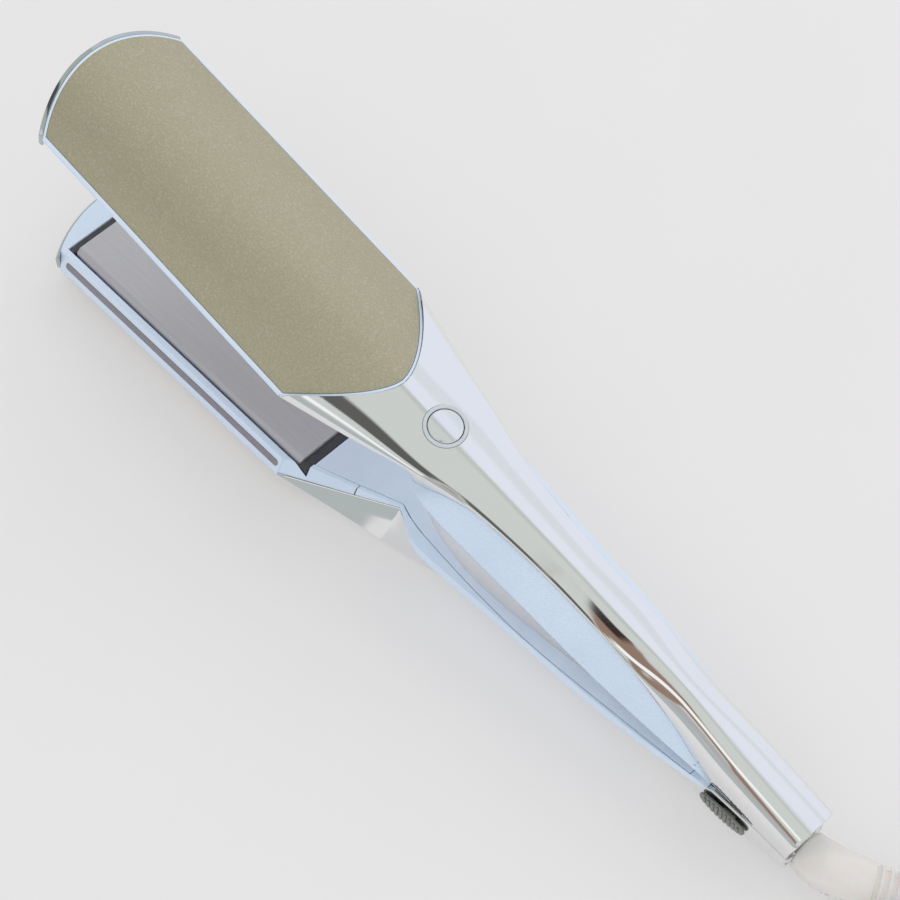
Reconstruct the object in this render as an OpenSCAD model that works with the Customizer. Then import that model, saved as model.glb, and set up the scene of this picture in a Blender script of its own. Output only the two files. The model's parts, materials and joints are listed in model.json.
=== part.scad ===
// Wide plate hair straightener: two mirrored arms on a rear hinge, shown open.
// Each arm is modelled with z = 0 on the plane where the closed arms meet.

/* [Arms] */
// Length of the handle, from the rear end to the tips of the neck horns
handle_len = 171; // [150:1:190]
// Width of the rear end
rear_w = 16; // [15:0.5:18]
// Height of one arm at its rear end
rear_h = 11; // [10.6:0.1:13]
// Height of one arm at its crown
crown_h = 15; // [14.5:0.1:17]
// Widest part of the grip, across the rims of the flanks
grip_w = 28; // [26:0.5:34]
// Width of the bright band along the grip
band_w = 15; // [13:0.5:17]
// Distance from the rear end to where the flanks open
leaf_start = 26; // [24:1:30]
// Thickness of the bright shell
skin = 1.2; // [1:0.1:1.5]
// Wall of the inner frames
wall = 1.4; // [1.2:0.1:2]
// Half of the slit between the closed arms
half_slit = 0.25; // [0.2:0.05:0.4]
// Clearance between pieces that seat on each other
seat_gap = 0.2; // [0.1:0.05:0.3]

/* [Head] */
// Length of the head in front of the neck horns
head_len = 103.5; // [80:0.5:120]
// Widest part of the head
head_w = 48.6; // [40:0.2:56]
// Width of the head at its inner rim
head_rim_w = 43; // [40:0.2:44]
// Height of the widest line of the head above the closing plane
head_edge_h = 6; // [5.6:0.1:7]
// How far the rounded tip stands out in front of its corners
tip_bulge = 8.4; // [6:0.2:12]
// Thickness of the tip trim
trim_t = 1.2; // [1:0.1:2]
// Width of the gold panel
panel_w = 46.4; // [38:0.2:52]
// Thickness of the gold panel
panel_t = 1.5; // [1.2:0.1:2]
// Length of the pointed rear of the gold panel
panel_point = 18.5; // [14:0.5:22]
// Width of the pale rim round the gold panel
bezel_w = 0.8; // [0.5:0.1:0.9]
// Width of the grey pads along the slanted sides
pad_w = 2; // [1.5:0.1:2.6]

/* [Plates] */
// Length of the heated plates
plate_len = 96; // [70:1:98]
// Width of the heated plates over their bevels
plate_w = 38; // [30:0.5:38.4]
// Thickness of the heated plates
plate_t = 3.2; // [2.6:0.1:3.3]
// How far a plate gives way when it is pressed
plate_float = 0.6; // [0.3:0.1:0.8]

/* [Hinge and lock] */
// Distance from the rear end to the hinge axis
hinge_x = 10.75; // [10:0.25:12]
// Angle between the open arms
opening = 12.4; // [8:0.1:14]
// Radius of the hinge pin
pin_r = 1.5; // [1.2:0.1:1.7]
// Running clearance of pins and pivots
run_gap = 0.05; // [0.03:0.01:0.1]
// Length of the ribbed lock slider
lock_len = 15; // [12:0.5:17]
// Travel of the lock slider
lock_travel = 2.4; // [1.5:0.1:3]

/* [Controls] */
// Distance from the power button to the tips of the neck horns
button_back = 35.4; // [33:0.2:42]
// Radius of the power button
button_r = 4.7; // [3.5:0.1:5]
// Width of the ring round the power button
ring_w = 1; // [0.6:0.1:1.4]
// Travel of the power button
button_travel = 0.6; // [0.3:0.1:0.8]
// Radius of the temperature buttons
key_r = 2.6; // [2:0.1:3.2]
// Distance between the temperature buttons
key_pitch = 9; // [8:0.5:12]
// Length of the display window
window_len = 16; // [12:1:20]

/* [Cord and plug] */
// Diameter of the cord
cord_d = 5.6; // [5:0.1:6.4]
// Widest diameter of the strain relief
relief_d = 12.8; // [11:0.2:14]
// Height of the cord outlet above the closing plane, measured outwards
outlet_h = 6; // [5.6:0.1:6.4]
// Loops in each layer of the tied hank
loops = 2; // [2:1:3]
// Layers of the hank
layers = 6; // [4, 6]
// Width of the hank at its middle turns
hank_w = 46.2; // [46:0.1:50]
// Straight run between the two bends of the hank
hank_run = 24.5; // [20:0.5:30]
// Width of the band that ties the hank
tie_w = 10; // [8:0.5:14]
// Diameter of the plug pins
plug_pin_d = 4; // [4:0.1:4.8]
// Length of the plug pins
plug_pin_len = 19; // [17:0.5:19]
// Distance between the plug pins
plug_pin_pitch = 19; // [17:0.5:20]

/* [Hidden] */
$fn = 48;

horn_x = handle_len;
body_len = handle_len + head_len;
center_x = (body_len + hinge_x * (1 - cos(opening)) - rear_h * sin(opening)) / 2;
half_band = band_w / 2;
half_grip = grip_w / 2;
half_rear = rear_w / 2;
half_head = head_w / 2;
half_rim = head_rim_w / 2;
half_panel = panel_w / 2;
half_plate = plate_w / 2;
neck_x = horn_x - 33;
button_x = horn_x - button_back;
leaf_len = neck_x - leaf_start;
mid_x = leaf_start + 0.57 * leaf_len;
inner_z = half_slit + 0.15;
crown_r = crown_radius(half_panel, crown_h - head_edge_h - 1.5);
tip_r = crown_radius(half_head, tip_bulge);
tip_c = body_len - tip_r;
panel_tip_r = tip_r - trim_t - bezel_w - 0.1;
panel_rear = horn_x - 0.5 - panel_point;
plate_front = tip_c + sqrt(pow(tip_r, 2) - pow(half_head, 2)) - 3.1;
plate_rear = plate_front - plate_len;
plate_z = half_slit - 0.1;
pocket_half = half_plate + 0.9;
pocket_step = plate_z + plate_t + plate_float + 0.65;
pad_rear = horn_x + 2;
pad_front = plate_front - 1;
heater_z = plate_z + plate_t + seat_gap;
heater_t = 3;
heater_half = 13.5;
heater_end = 8;
cushion_z = heater_z + heater_t + 0.3;
cushion_half = heater_half + 1;
pocket_top = cushion_z + 2.2;
lid_t = 1.6;
lid_ledge = 1;
recess_floor = inner_z + 2.6;
tray_top = recess_floor + 1.2;
board_z = 7.3;
board_t = 1.6;
rear_slope = tan(opening / 2);
head_low = 1;
slant = atan2(half_head - half_rim, head_edge_h - head_low);
ball_r = outlet_h - 2.8;

// Radius of an arc from its half chord and its height
function crown_radius(half_chord, rise) =
  (pow(half_chord, 2) + pow(rise, 2)) / (2 * rise);

// Smooth curve through rows of [position, value], where a value may be a point
function row_at(rows, x, i = 0) =
  i >= len(rows) - 2 || x < rows[i + 1][0] ? i : row_at(rows, x, i + 1);
function slope_at(rows, i) =
  let (a = max(i - 1, 0), b = min(i + 1, len(rows) - 1))
  (rows[b][1] - rows[a][1]) / (rows[b][0] - rows[a][0]);
function smooth(rows, x) =
  let (
    i = row_at(rows, x),
    h = rows[i + 1][0] - rows[i][0],
    s = (x - rows[i][0]) / h,
    s2 = s * s,
    s3 = s2 * s
  )
  (2 * s3 - 3 * s2 + 1) * rows[i][1] + (s3 - 2 * s2 + s) * h * slope_at(rows, i)
  + (3 * s2 - 2 * s3) * rows[i + 1][1] + (s3 - s2) * h * slope_at(rows, i + 1);
function straight(rows, x) =
  let (i = row_at(rows, x), s = (x - rows[i][0]) / (rows[i + 1][0] - rows[i][0]))
  rows[i][1] + s * (rows[i + 1][1] - rows[i][1]);

// Guide curves of an arm. Each gives half width and height at a distance x from the rear end.
widest_line = [
  [0, [half_rear - 0.2, 4]],
  [leaf_start - 1, [half_rear + 0.2, 4]],
  [leaf_start + 17, [half_band - 0.1, 8.2]],
  [leaf_start + 35, [half_band - 0.1, crown_h - 1.8]],
  [mid_x, [half_band + 0.2, crown_h - 1.4]],
  [neck_x - 22, [half_band + 2.5, crown_h - 1.8]],
  [neck_x - 6, [half_band + 6.4, crown_h - 3]],
  [neck_x + 13, [half_band + 11.5, crown_h - 6.5]],
  [horn_x, [half_head, head_edge_h]]
];
edge_line = [
  [leaf_start - 1, [half_rear, half_slit + 0.2]],
  [leaf_start + 7, [half_rear - 0.2, 3.2]],
  [leaf_start + 17, [half_band - 0.2, 7.6]],
  [leaf_start + 35, [half_band - 0.2, crown_h - 2.3]],
  [mid_x, [half_band + 0.1, crown_h - 1.9]],
  [neck_x - 26, [half_band + 1.7, crown_h - 2.2]],
  [neck_x - 16, [half_band + 3.7, crown_h - 4.5]],
  [neck_x - 10, [half_band + 4.7, crown_h - 8.5]],
  [neck_x - 5.5, [half_band + 4.1, 1.2]]
];
horn_edge = [
  [neck_x - 5.5, [half_band + 4.1, 1.2]],
  [neck_x, [half_band + 1.5, 1]],
  [horn_x, [half_head - 0.2, head_edge_h - 0.3]]
];
rim_line = [
  [leaf_start, [half_rear + 0.5, 0.7]],
  [leaf_start + 4, [half_rear + 1, 1.5]],
  [leaf_start + 19, [half_grip - 3.2, 2.4]],
  [leaf_start + 40, [half_grip - 1.5, 2.6]],
  [mid_x, [half_grip - 0.6, 2.6]],
  [neck_x - 21, [half_grip + 0.5, 2.6]],
  [neck_x - 12, [half_grip + 0.4, 2.5]],
  [neck_x - 8, [half_grip - 0.6, 1.8]],
  [neck_x - 5.5, [half_band + 4.4, 0.9]]
];
seam_line = [
  [leaf_start + 2.5, half_rear],
  [leaf_start + 19, half_grip - 4.6],
  [mid_x - 6, half_grip - 1.9],
  [neck_x - 33, half_grip - 2.2],
  [neck_x - 10, half_grip - 4],
  [neck_x - 4, half_band + 1.4],
  [neck_x, half_band + 0.05]
];
spine_line = [
  [0, rear_h],
  [leaf_start - 1, rear_h + 1.7],
  [leaf_start + 24, crown_h - 0.6],
  [leaf_start + 44, crown_h],
  [mid_x, crown_h],
  [horn_x, crown_h]
];
fullness = [[0, 3.6], [leaf_start - 1, 3.4], [leaf_start + 19, 2.5], [leaf_start + 35, 2], [horn_x, 2]];

function widest(x) = smooth(widest_line, x);
function edge(x) =
  x < hinge_x ? [half_rear - 0.3, half_slit + (hinge_x - x) * rear_slope]
  : x < leaf_start - 1 ? [half_rear - 0.2, half_slit]
  : x < neck_x - 5.5 ? smooth(edge_line, x) : straight(horn_edge, x);
function rim(x) =
  x < neck_x - 5.5 ? smooth(rim_line, x) : edge(x) - [0.2, 0.35];
function spine(x) = smooth(spine_line, x);

// Half of the arm's upper curve, drawn in by t, from its lower edge to the spine
function upper_curve(x, t, steps) =
  let (
    e = edge(x),
    w = widest(x),
    drop = 0.4 * min(1, w[1] - e[1]) * min(1, t),
    base = w[1] - drop,
    top = spine(x) - t,
    p = 2 / straight(fullness, x)
  )
  concat(
    [[e[0] - t, e[1]]],
    [[(e[0] + w[0]) / 2 - t, (e[1] + base) / 2]],
    [for (k = [0:steps]) let (a = 90 * (1 - k / steps))
      [(w[0] - t) * pow(sin(a), p), base + (top - base) * pow(cos(a), p)]]
  );

// Half of a flank, from the inner face past the rim to the bright shell
function flank_curve(x, t) =
  let (
    r = rim(x),
    e = edge(x),
    f = [e[0] - 0.05, e[1] - seat_gap],
    m = (r + f) / 2,
    low = x > plate_rear ? head_low + 0.1 : inner_z,
    foot = x < neck_x - 5.5 ? 0.7 : (r[1] - low) * tan(slant)
  )
  [
    [r[0] - foot - t, low],
    [r[0] - t, r[1]],
    [m[0] + 0.05 * (f[1] - r[1]) - t, m[1]],
    [f[0] - t, f[1]]
  ];

function mirrored(half) =
  concat(
    [for (p = half) p],
    [for (i = [len(half) - 2:-1:0]) [-half[i][0], half[i][1]]]
  );
function at_x(x, ring) = [for (p = ring) [x, p[0], p[1]]];
function spread(a, b, n) = [for (i = [0:n]) a + (b - a) * i / n];

// Closed body through rings that all have the same number of points. An arch has an outer
// and an inner curve of equally many points, and its ends are closed between the two.
module loft(rings, arch = false) {
  n = len(rings[0]);
  last = len(rings) - 1;
  start = arch
    ? [for (k = [0:n / 2 - 2]) each [[k, k + 1, n - 2 - k], [k, n - 2 - k, n - 1 - k]]]
    : [[for (j = [0:n - 1]) j]];
  polyhedron(
    points = [for (r = rings) each r],
    faces = concat(
      start,
      [for (i = [0:last - 1], j = [0:n - 1])
        let (k = (j + 1) % n, a = i * n + j, b = i * n + k, c = a + n, d = b + n)
        each norm(rings[i][j] - rings[i + 1][k]) < norm(rings[i][k] - rings[i + 1][j])
          ? [[a, c, d], [a, d, b]]
          : [[a, c, b], [c, d, b]]],
      [for (f = start) [for (k = [len(f) - 1:-1:0]) last * n + f[k]]]
    ),
    convexity = 6
  );
}

// The two arms: the lower one lies on its back, the upper one swings up on the hinge
module on_lower() {
  translate([-center_x, 0, crown_h]) mirror([0, 0, 1]) children();
}
module on_upper() {
  translate([hinge_x - center_x, 0, crown_h])
    rotate([0, -opening, 0])
      translate([-hinge_x, 0, 0]) children();
}
module along_x(x0, x1) {
  translate([x0, 0, 0]) rotate([90, 0, 90]) linear_extrude(x1 - x0) children();
}
module block(x0, x1, half_w, z0, z1) {
  translate([x0, -half_w, z0]) cube([x1 - x0, 2 * half_w, z1 - z0]);
}
module crown_cylinder(r) {
  translate([0, 0, crown_h - crown_r])
    rotate([0, 90, 0]) cylinder(r = r, h = body_len + 20, $fn = 180);
}

// Outline of the gold panel, grown by d: straight sides, pointed rear and round tip
function point_x(y) = panel_rear + panel_point * pow(abs(y) / half_panel, 1.63);
function point_slope(y) = 1.63 * panel_point / half_panel * pow(abs(y) / half_panel, 0.63);
module panel_outline(d) {
  intersection() {
    polygon(concat(
      [for (y = spread(half_panel, -half_panel, 24))
        let (s = point_slope(y), n = sqrt(1 + s * s))
        [point_x(y) - d / n, y + sign(y) * min(d * s / n, d)]],
      [[horn_x, -half_panel - d], [body_len, -half_panel - d],
       [body_len, half_panel + d], [horn_x, half_panel + d]]
    ));
    tip_end(panel_tip_r + d, half_panel + d);
  }
}
module tip_end(r, half_w) {
  translate([tip_c, 0]) circle(r = r, $fn = 180);
  translate([0, -half_w - 2])
    square([tip_c + sqrt(pow(r, 2) - pow(half_w, 2)), 2 * half_w + 4]);
}

module gold_panel() {
  color([0.66, 0.64, 0.53])
    intersection() {
      difference() {
        crown_cylinder(crown_r);
        crown_cylinder(crown_r - panel_t);
      }
      linear_extrude(crown_h + 1) panel_outline(0);
    }
}

shell_stations = concat(
  [0, 5, hinge_x, 18, leaf_start - 1, leaf_start + 3],
  spread(leaf_start + 7, mid_x, 8),
  spread(mid_x + 9, neck_x - 9, 6),
  [neck_x - 5.5, neck_x - 3, neck_x],
  spread(neck_x + 4, horn_x - 0.4, 7)
);
function stations(x0, x1) =
  concat([x0], [for (x = shell_stations) if (x > x0 + 0.5 && x < x1 - 0.3) x], [x1]);
module chrome_shell() {
  color([0.80, 0.82, 0.84])
    difference() {
      loft([for (x = shell_stations)
        let (o = mirrored(upper_curve(x, 0, 7)), i = mirrored(upper_curve(x, skin, 7)))
        at_x(x, concat(o, [for (k = [len(i) - 1:-1:0]) i[k]]))], true);
      translate([0, 0, head_edge_h - 0.8])
        linear_extrude(crown_h) panel_outline(bezel_w + 0.15);
      children();
    }
}
module end_cap() {
  color([0.80, 0.82, 0.84])
    difference() {
      along_x(0, skin) polygon(mirrored(upper_curve(0, skin + 0.1, 7)));
      rear_wedge();
      children();
    }
}

module tip_trim() {
  color([0.62, 0.65, 0.62])
    intersection() {
      translate([tip_c, 0, 0])
        rotate([0, 0, -asin(half_head / tip_r)])
          rotate_extrude(angle = 2 * asin(half_head / tip_r), $fn = 180)
            polygon([
              [tip_r - trim_t, 1.6], [tip_r - 0.5, 1.6], [tip_r, 2.6],
              [tip_r, crown_h - 0.4], [tip_r - 0.3, crown_h], [tip_r - trim_t, crown_h]
            ]);
      crown_cylinder(crown_r - 0.1);
    }
}

// Ring of an arm's core under the bright shell, from x = leaf_start to the horns
function core_half(x) =
  let (flank = flank_curve(x, 0.012 * max(0, x - neck_x - 12)), under = upper_curve(x, skin + seat_gap, 7))
  concat(
    flank,
    [[under[0][0], flank[3][1]]],
    [for (k = [1:len(under) - 1]) [under[k][0], under[k][1] - (k == 1 ? seat_gap : 0)]]
  );

module core(x0, x1) {
  loft([for (x = stations(x0, x1)) at_x(x, mirrored(core_half(x)))]);
}

module pads(grow) {
  mid = [(half_head + half_rim) / 2, (head_edge_h + head_low) / 2];
  for (s = [0, 1])
    mirror([0, s, 0])
      translate([0, mid[0], mid[1]])
        rotate([90 - slant, 0, 0])
          translate([0, 0, -0.1 - 5 * grow])
            linear_extrude(0.8 + 6 * grow) {
              translate([pad_rear, -pad_w / 2 - grow])
                square([pad_front - pad_rear, pad_w + 2 * grow]);
              for (x = [pad_rear, pad_front])
                translate([x, 0]) circle(r = pad_w / 2 + grow);
            }
}
module side_pads() {
  color([0.66, 0.67, 0.70]) pads(0);
}

module head_block() {
  intersection() {
    along_x(horn_x, body_len)
      polygon([
        [-half_rim, head_low], [half_rim, head_low], [half_head, head_edge_h],
        [half_head - 0.2, head_edge_h + 1.3], [half_head - 0.2, crown_h],
        [0.2 - half_head, crown_h], [0.2 - half_head, head_edge_h + 1.3],
        [-half_head, head_edge_h]
      ]);
    linear_extrude(crown_h) tip_end(tip_r - trim_t - 0.1, half_head);
  }
}
module point_bezel() {
  intersection() {
    translate([0, 0, head_edge_h]) linear_extrude(crown_h) panel_outline(bezel_w);
    block(panel_rear - 2, horn_x + 0.5, half_head - 0.2, 0, crown_h);
  }
}
module head_housing() {
  color([0.80, 0.85, 0.91])
    difference() {
      union() {
        core(neck_x + 12.3, horn_x + 0.3);
        intersection() {
          union() {
            head_block();
            point_bezel();
          }
          crown_cylinder(crown_r - 0.15);
        }
      }
      difference() {
        linear_extrude(crown_h + 1) panel_outline(0.12);
        crown_cylinder(crown_r - panel_t - seat_gap);
      }
      block(plate_rear - 3.4, plate_front + 2.4, pocket_half, -1, pocket_step);
      block(plate_rear - 3.4, plate_front + 2.4, cushion_half + 0.2, 0, pocket_top + 0.2);
      block(neck_x + 10, plate_rear + 1, 3, lead_z - 1.3, lead_z + 1.3);
      lid_outline_cut();
      pads(0.08);
    }
}

// Flat lid of the inner face: a leaf along the grip that widens again towards the head
lid_rear = leaf_start + 5.5;
lid_front = plate_rear - 3.6;
module lid_outline(grow) {
  half = concat(
    [for (x = spread(lid_rear, neck_x, 20)) [x, smooth(seam_line, x)]],
    [[neck_x + 17.6, half_rim - 7.5], [lid_front, half_rim - 4.8]]
  );
  last = len(half) - 1;
  function edge_x(i) = half[i][0] + (i == 0 ? -grow : i == last ? 2 * grow : 0);
  polygon(concat(
    [for (i = [0:last]) [edge_x(i), half[i][1] + grow]],
    [for (i = [last:-1:0]) [edge_x(i), -half[i][1] - grow]]
  ));
}
module lid_outline_cut() {
  translate([0, 0, inner_z - 0.5]) linear_extrude(lid_t + 0.5 + seat_gap) lid_outline(seat_gap);
}
recess_rear = leaf_start + 8;
recess_tip = neck_x + 1;
recess_line = [
  [0, 1], [0.12, 4.6], [0.4, 7.8], [0.68, 9.6], [0.85, 7.6], [0.95, 3.6], [1, 0.8]
];
module recess(grow, t) {
  us = spread(0, 1, 24);
  function rx(u) = recess_rear - grow + u * (recess_tip - recess_rear + 2 * grow);
  linear_extrude(t)
    polygon(concat(
      [for (u = us) [rx(u), smooth(recess_line, u) * grip_w / 28 + grow]],
      [for (i = [24:-1:0]) [rx(us[i]), -smooth(recess_line, us[i]) * grip_w / 28 - grow]]
    ));
}
module inner_cover() {
  color([0.74, 0.80, 0.88])
    difference() {
      union() {
        translate([0, 0, inner_z]) linear_extrude(lid_t) lid_outline(0);
        translate([0, 0, inner_z]) recess(1.2, tray_top - inner_z);
      }
      translate([0, 0, -1]) recess(0, recess_floor + 1);
      children();
    }
}

module frame() {
  color([0.80, 0.85, 0.91])
    difference() {
      core(leaf_start + 0.1, neck_x + 12);
      loft([for (x = stations(leaf_start + 16, neck_x + 13)) at_x(x, mirrored(cavity_half(x)))]);
      lid_outline_cut();
      translate([0, 0, -1]) recess(1.2 + seat_gap, tray_top + 1.3);
      children();
    }
}
// Half width of an arm's outside at height z, below its crown
function env_half(x, z) =
  let (r = rim(x), e = edge(x), w = widest(x))
  z < e[1] ? r[0] + (e[0] - r[0]) * max(0, z - r[1]) / (e[1] - r[1])
  : e[0] + (w[0] - e[0]) * min(1, (z - e[1]) / (w[1] - e[1]));
function cavity_wall(x, z) =
  env_half(x, z) - wall - (z > edge(x)[1] - 1 ? skin + seat_gap : 0);
function cavity_half(x) =
  let (
    roof = spine(x) - skin - seat_gap - wall,
    high = min(9, roof - 1.8),
    low = x < neck_x ? smooth(seam_line, x) - lid_ledge : half_band - lid_ledge,
    side = min(widest(x)[0] - skin - seat_gap - wall, cavity_wall(x, high)) - 0.4
  )
  [
    [low, -1],
    [low, inner_z + lid_t + 0.9],
    [cavity_wall(x, 5.4), 5.4],
    [cavity_wall(x, high), high],
    [side, roof - 1.2],
    [side * 0.65, roof - 0.3],
    [0, roof]
  ];

module plate() {
  color([0.67, 0.66, 0.68])
    along_x(plate_rear, plate_front)
      polygon([
        [-half_plate, plate_z + 1.2], [1.6 - half_plate, plate_z],
        [half_plate - 1.6, plate_z], [half_plate, plate_z + 1.2],
        [half_plate, plate_z + plate_t], [-half_plate, plate_z + plate_t]
      ]);
}
module heater() {
  color([0.85, 0.85, 0.82])
    block(plate_rear + heater_end, plate_front - heater_end, heater_half,
      heater_z, heater_z + heater_t);
}
module cushion() {
  rail_top = pocket_step - 0.2;
  color([0.30, 0.31, 0.33])
    difference() {
      union() {
        block(plate_rear - 3, plate_rear - 0.3, pocket_half - 0.3, plate_z + 1.2, rail_top);
        block(plate_front + 0.3, plate_front + 2.1, pocket_half - 0.3, plate_z + 1.2, rail_top);
        block(plate_rear - 3, plate_rear + 4, cushion_half, rail_top, pocket_top);
        block(plate_front - 4, plate_front + 2.1, cushion_half, rail_top, pocket_top);
        block(plate_rear + 4, plate_front - 4, cushion_half, cushion_z, pocket_top);
      }
      block(plate_rear - 4, plate_rear + 5, 3, plate_z + plate_t + plate_float + 0.3, lead_z + 1.2);
    }
}

// Hinge: the lower block carries the inner knuckles, the upper block the outer ones
knuckle_r = 3.3;
knuckle_in = [2.7, 4.4];
knuckle_out = [4.7, 6.3];
module knuckles(span, r) {
  for (s = [0, 1])
    mirror([0, s, 0])
      translate([hinge_x, span[0], 0])
        rotate([-90, 0, 0]) cylinder(r = r, h = span[1] - span[0]);
}
module hinge_block(span) {
  color([0.72, 0.74, 0.77])
    difference() {
      union() {
        difference() {
          along_x(skin + 0.5, leaf_start - 0.2)
            polygon([
              [-6.4, 0.4], [6.4, 0.4], [6.4, rear_h - 4.3], [4.5, rear_h - 1.8],
              [-4.5, rear_h - 1.8], [-6.4, rear_h - 4.3]
            ]);
          knuckles([-0.1, 6.6], knuckle_r + 0.5);
          rear_wedge();
        }
        knuckles(span, knuckle_r);
        for (s = [0, 1])
          mirror([0, s, 0])
            translate([hinge_x - 2.4, span[0], 1.6])
              cube([4.8, span[1] - span[0], 3]);
      }
      translate([hinge_x, 7, 0])
        rotate([90, 0, 0]) cylinder(r = pin_r + run_gap, h = 14);
      children();
    }
}
module rear_wedge() {
  translate([hinge_x, -10, half_slit])
    rotate([0, opening / 2, 0])
      translate([-20, 0, -6]) cube([20, 20, 6]);
}
module hinge_screws_on(x) {
  for (y = [-3.6, 3.6])
    translate([x, y, inner_z + 0.3]) {
      cylinder(r = 1.9, h = 1.2);
      cylinder(r = 1, h = 6);
    }
}
screw_x = leaf_start - 6;
module screw_holes() {
  for (y = [-3.6, 3.6])
    translate([screw_x, y, -1]) {
      cylinder(r = 2.1, h = inner_z + 2.6);
      cylinder(r = 1.08, h = inner_z + 7.6);
    }
}
module hinge_screws() {
  color([0.55, 0.56, 0.58]) hinge_screws_on(screw_x);
}

module hinge_pin() {
  color([0.7, 0.71, 0.72])
    translate([hinge_x, knuckle_out[1], 0])
      rotate([90, 0, 0]) cylinder(r = pin_r, h = 2 * knuckle_out[1]);
}
module hinge_spring() {
  color([0.5, 0.5, 0.52])
    translate([hinge_x, knuckle_in[0] - 0.3, 0])
      rotate([90, 0, 0])
        difference() {
          cylinder(r = knuckle_r - 0.4, h = 2 * knuckle_in[0] - 0.6);
          translate([0, 0, -1]) cylinder(r = pin_r + 0.25, h = 2 * knuckle_in[0] + 2);
        }
}

// Upper arm: power button, switch, board, display and temperature keys
ring_r = button_r + 0.2 + ring_w;
roof_z = crown_h - skin - seat_gap;
module button_hole() {
  translate([button_x, 0, 5]) cylinder(r = ring_r + 0.1, h = crown_h);
}
module button_well() {
  translate([button_x, 0, 5]) cylinder(r = button_r + 0.2, h = crown_h);
}
module power_button() {
  color([0.78, 0.80, 0.83])
    translate([button_x, 0, 0]) {
      translate([0, 0, disc_z]) cylinder(r = button_r, h = crown_h - disc_z);
      translate([0, 0, switch_top + button_travel + 0.1])
        cylinder(r = 1.4, h = disc_z - switch_top - button_travel);
    }
}
module button_ring() {
  color([0.84, 0.87, 0.92])
    translate([button_x, 0, roof_z + 0.05])
      difference() {
        cylinder(r = ring_r, h = crown_h + 0.15 - roof_z);
        translate([0, 0, -1]) cylinder(r = button_r + 0.2, h = crown_h);
      }
}
switch_top = board_z + board_t + 1.7;
disc_z = crown_h - 2.2;
module button_spring() {
  color([0.6, 0.6, 0.6])
    translate([button_x, 0, switch_top + 0.05])
      difference() {
        cylinder(r = 2.4, h = disc_z - switch_top - 0.1);
        translate([0, 0, -1]) cylinder(r = 1.8, h = 20);
      }
}
module power_switch() {
  color([0.2, 0.2, 0.22]) block(button_x - 3, button_x + 3, 3, board_z + board_t, switch_top);
}
board_rear = neck_x - 70;
board_front = neck_x + 4;
module circuit_board() {
  block(board_rear, board_front, 6.5, board_z, board_z + board_t);
  for (i = [0:3])
    translate([board_rear + 5 + 14 * i, -3, board_z + board_t]) cube([7, 6, 1.4]);
}
module control_board() {
  color([0.20, 0.45, 0.32]) circuit_board();
}
module power_board() {
  color([0.22, 0.42, 0.34]) circuit_board();
}
window_x = neck_x - 42;
key_x = window_x - 12;
module display_window() {
  color([0.15, 0.18, 0.24])
    translate([window_x, -4.4, recess_floor - 0.1]) cube([window_len, 8.8, 1]);
}
module display_holes() {
  translate([window_x - 0.15, -4.55, recess_floor - 1]) cube([window_len + 0.3, 9.1, 2]);
  translate([window_x + 1, -3.4, recess_floor - 1]) cube([window_len - 2, 6.8, 5]);
  for (k = [0, 1])
    translate([key_x - k * key_pitch, 0, recess_floor - 1]) cylinder(r = key_r + 0.15, h = 5);
}
module key(k) {
  color([0.86, 0.89, 0.93])
    translate([key_x - k * key_pitch, 0, 0]) {
      translate([0, 0, recess_floor - 0.7]) cylinder(r = key_r, h = tray_top - recess_floor + 1);
      translate([0, 0, tray_top + 0.15]) cylinder(r = key_r + 0.8, h = 0.7);
      translate([0, 0, tray_top + 0.5]) cylinder(r = 1, h = board_z - tray_top - 1.1);
    }
}

lead_z = board_z - 1.6;
module heater_leads() {
  color([0.75, 0.72, 0.66])
    for (y = [-1.6, 1.6])
      translate([board_front - 4, y, lead_z])
        rotate([0, 90, 0]) cylinder(r = 0.8, h = plate_rear + heater_end - board_front + 3.7);
}

// Lock slider on the left wall of the lower arm
lock_x = leaf_start + 1 - lock_len;
lock_z = [1.6, 7.2];
module lock_plate(grow, y0, y1) {
  translate([lock_x - grow, y0, lock_z[0] - grow])
    cube([lock_len + 2 * grow, y1 - y0, lock_z[1] - lock_z[0] + 2 * grow]);
}
module lock_slider() {
  color([0.42, 0.43, 0.42]) {
    lock_plate(0, half_rear + 0.55, half_rear + 1.3);
    for (i = [0:8])
      translate([lock_x + 1.2 + 1.4 * i, half_rear + 1.3, lock_z[0]])
        cube([0.7, 0.35, lock_z[1] - lock_z[0]]);
    translate([lock_x + 4, half_rear - 1.3, 2.6]) cube([4, 1.9, 3]);
  }
}
module lock_slot() {
  translate([lock_x + 3.7, half_rear - 1.5, 2.3]) cube([4.6 + lock_travel, 3, 3.6]);
}
module lock_notch() {
  translate([leaf_start - 1, half_rear + 0.2, lock_z[0] - 0.3])
    cube([lock_travel + 2.3, 3, lock_z[1] - lock_z[0] + 0.6]);
}

// Cord outlet at the lower arm's rear end
module cord_swivel() {
  color([0.88, 0.87, 0.83])
    translate([0, 0, outlet_h]) rotate([0, 90, 0]) {
      translate([0, 0, -0.6]) cylinder(r = neck_r, h = skin + 1.5);
      translate([0, 0, skin + 0.3]) cylinder(r = ball_r, h = 1.6);
    }
}
neck_r = 2.6;
module outlet_holes() {
  translate([0, 0, outlet_h]) rotate([0, 90, 0]) {
    translate([0, 0, -1]) cylinder(r = neck_r + run_gap, h = 8);
    translate([0, 0, skin + 0.1]) cylinder(r = ball_r + 0.15, h = 2.1);
  }
}
module supply_channel() {
  block(2, leaf_start + 20, 1.7, outlet_h - 1.1, outlet_h + 1.1);
}
module supply_leads() {
  color([0.75, 0.72, 0.66])
    for (y = [-0.85, 0.85])
      translate([skin + 2.1, y, outlet_h])
        rotate([0, 90, 0]) cylinder(r = 0.7, h = board_rear - skin - 2.4);
}

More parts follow.
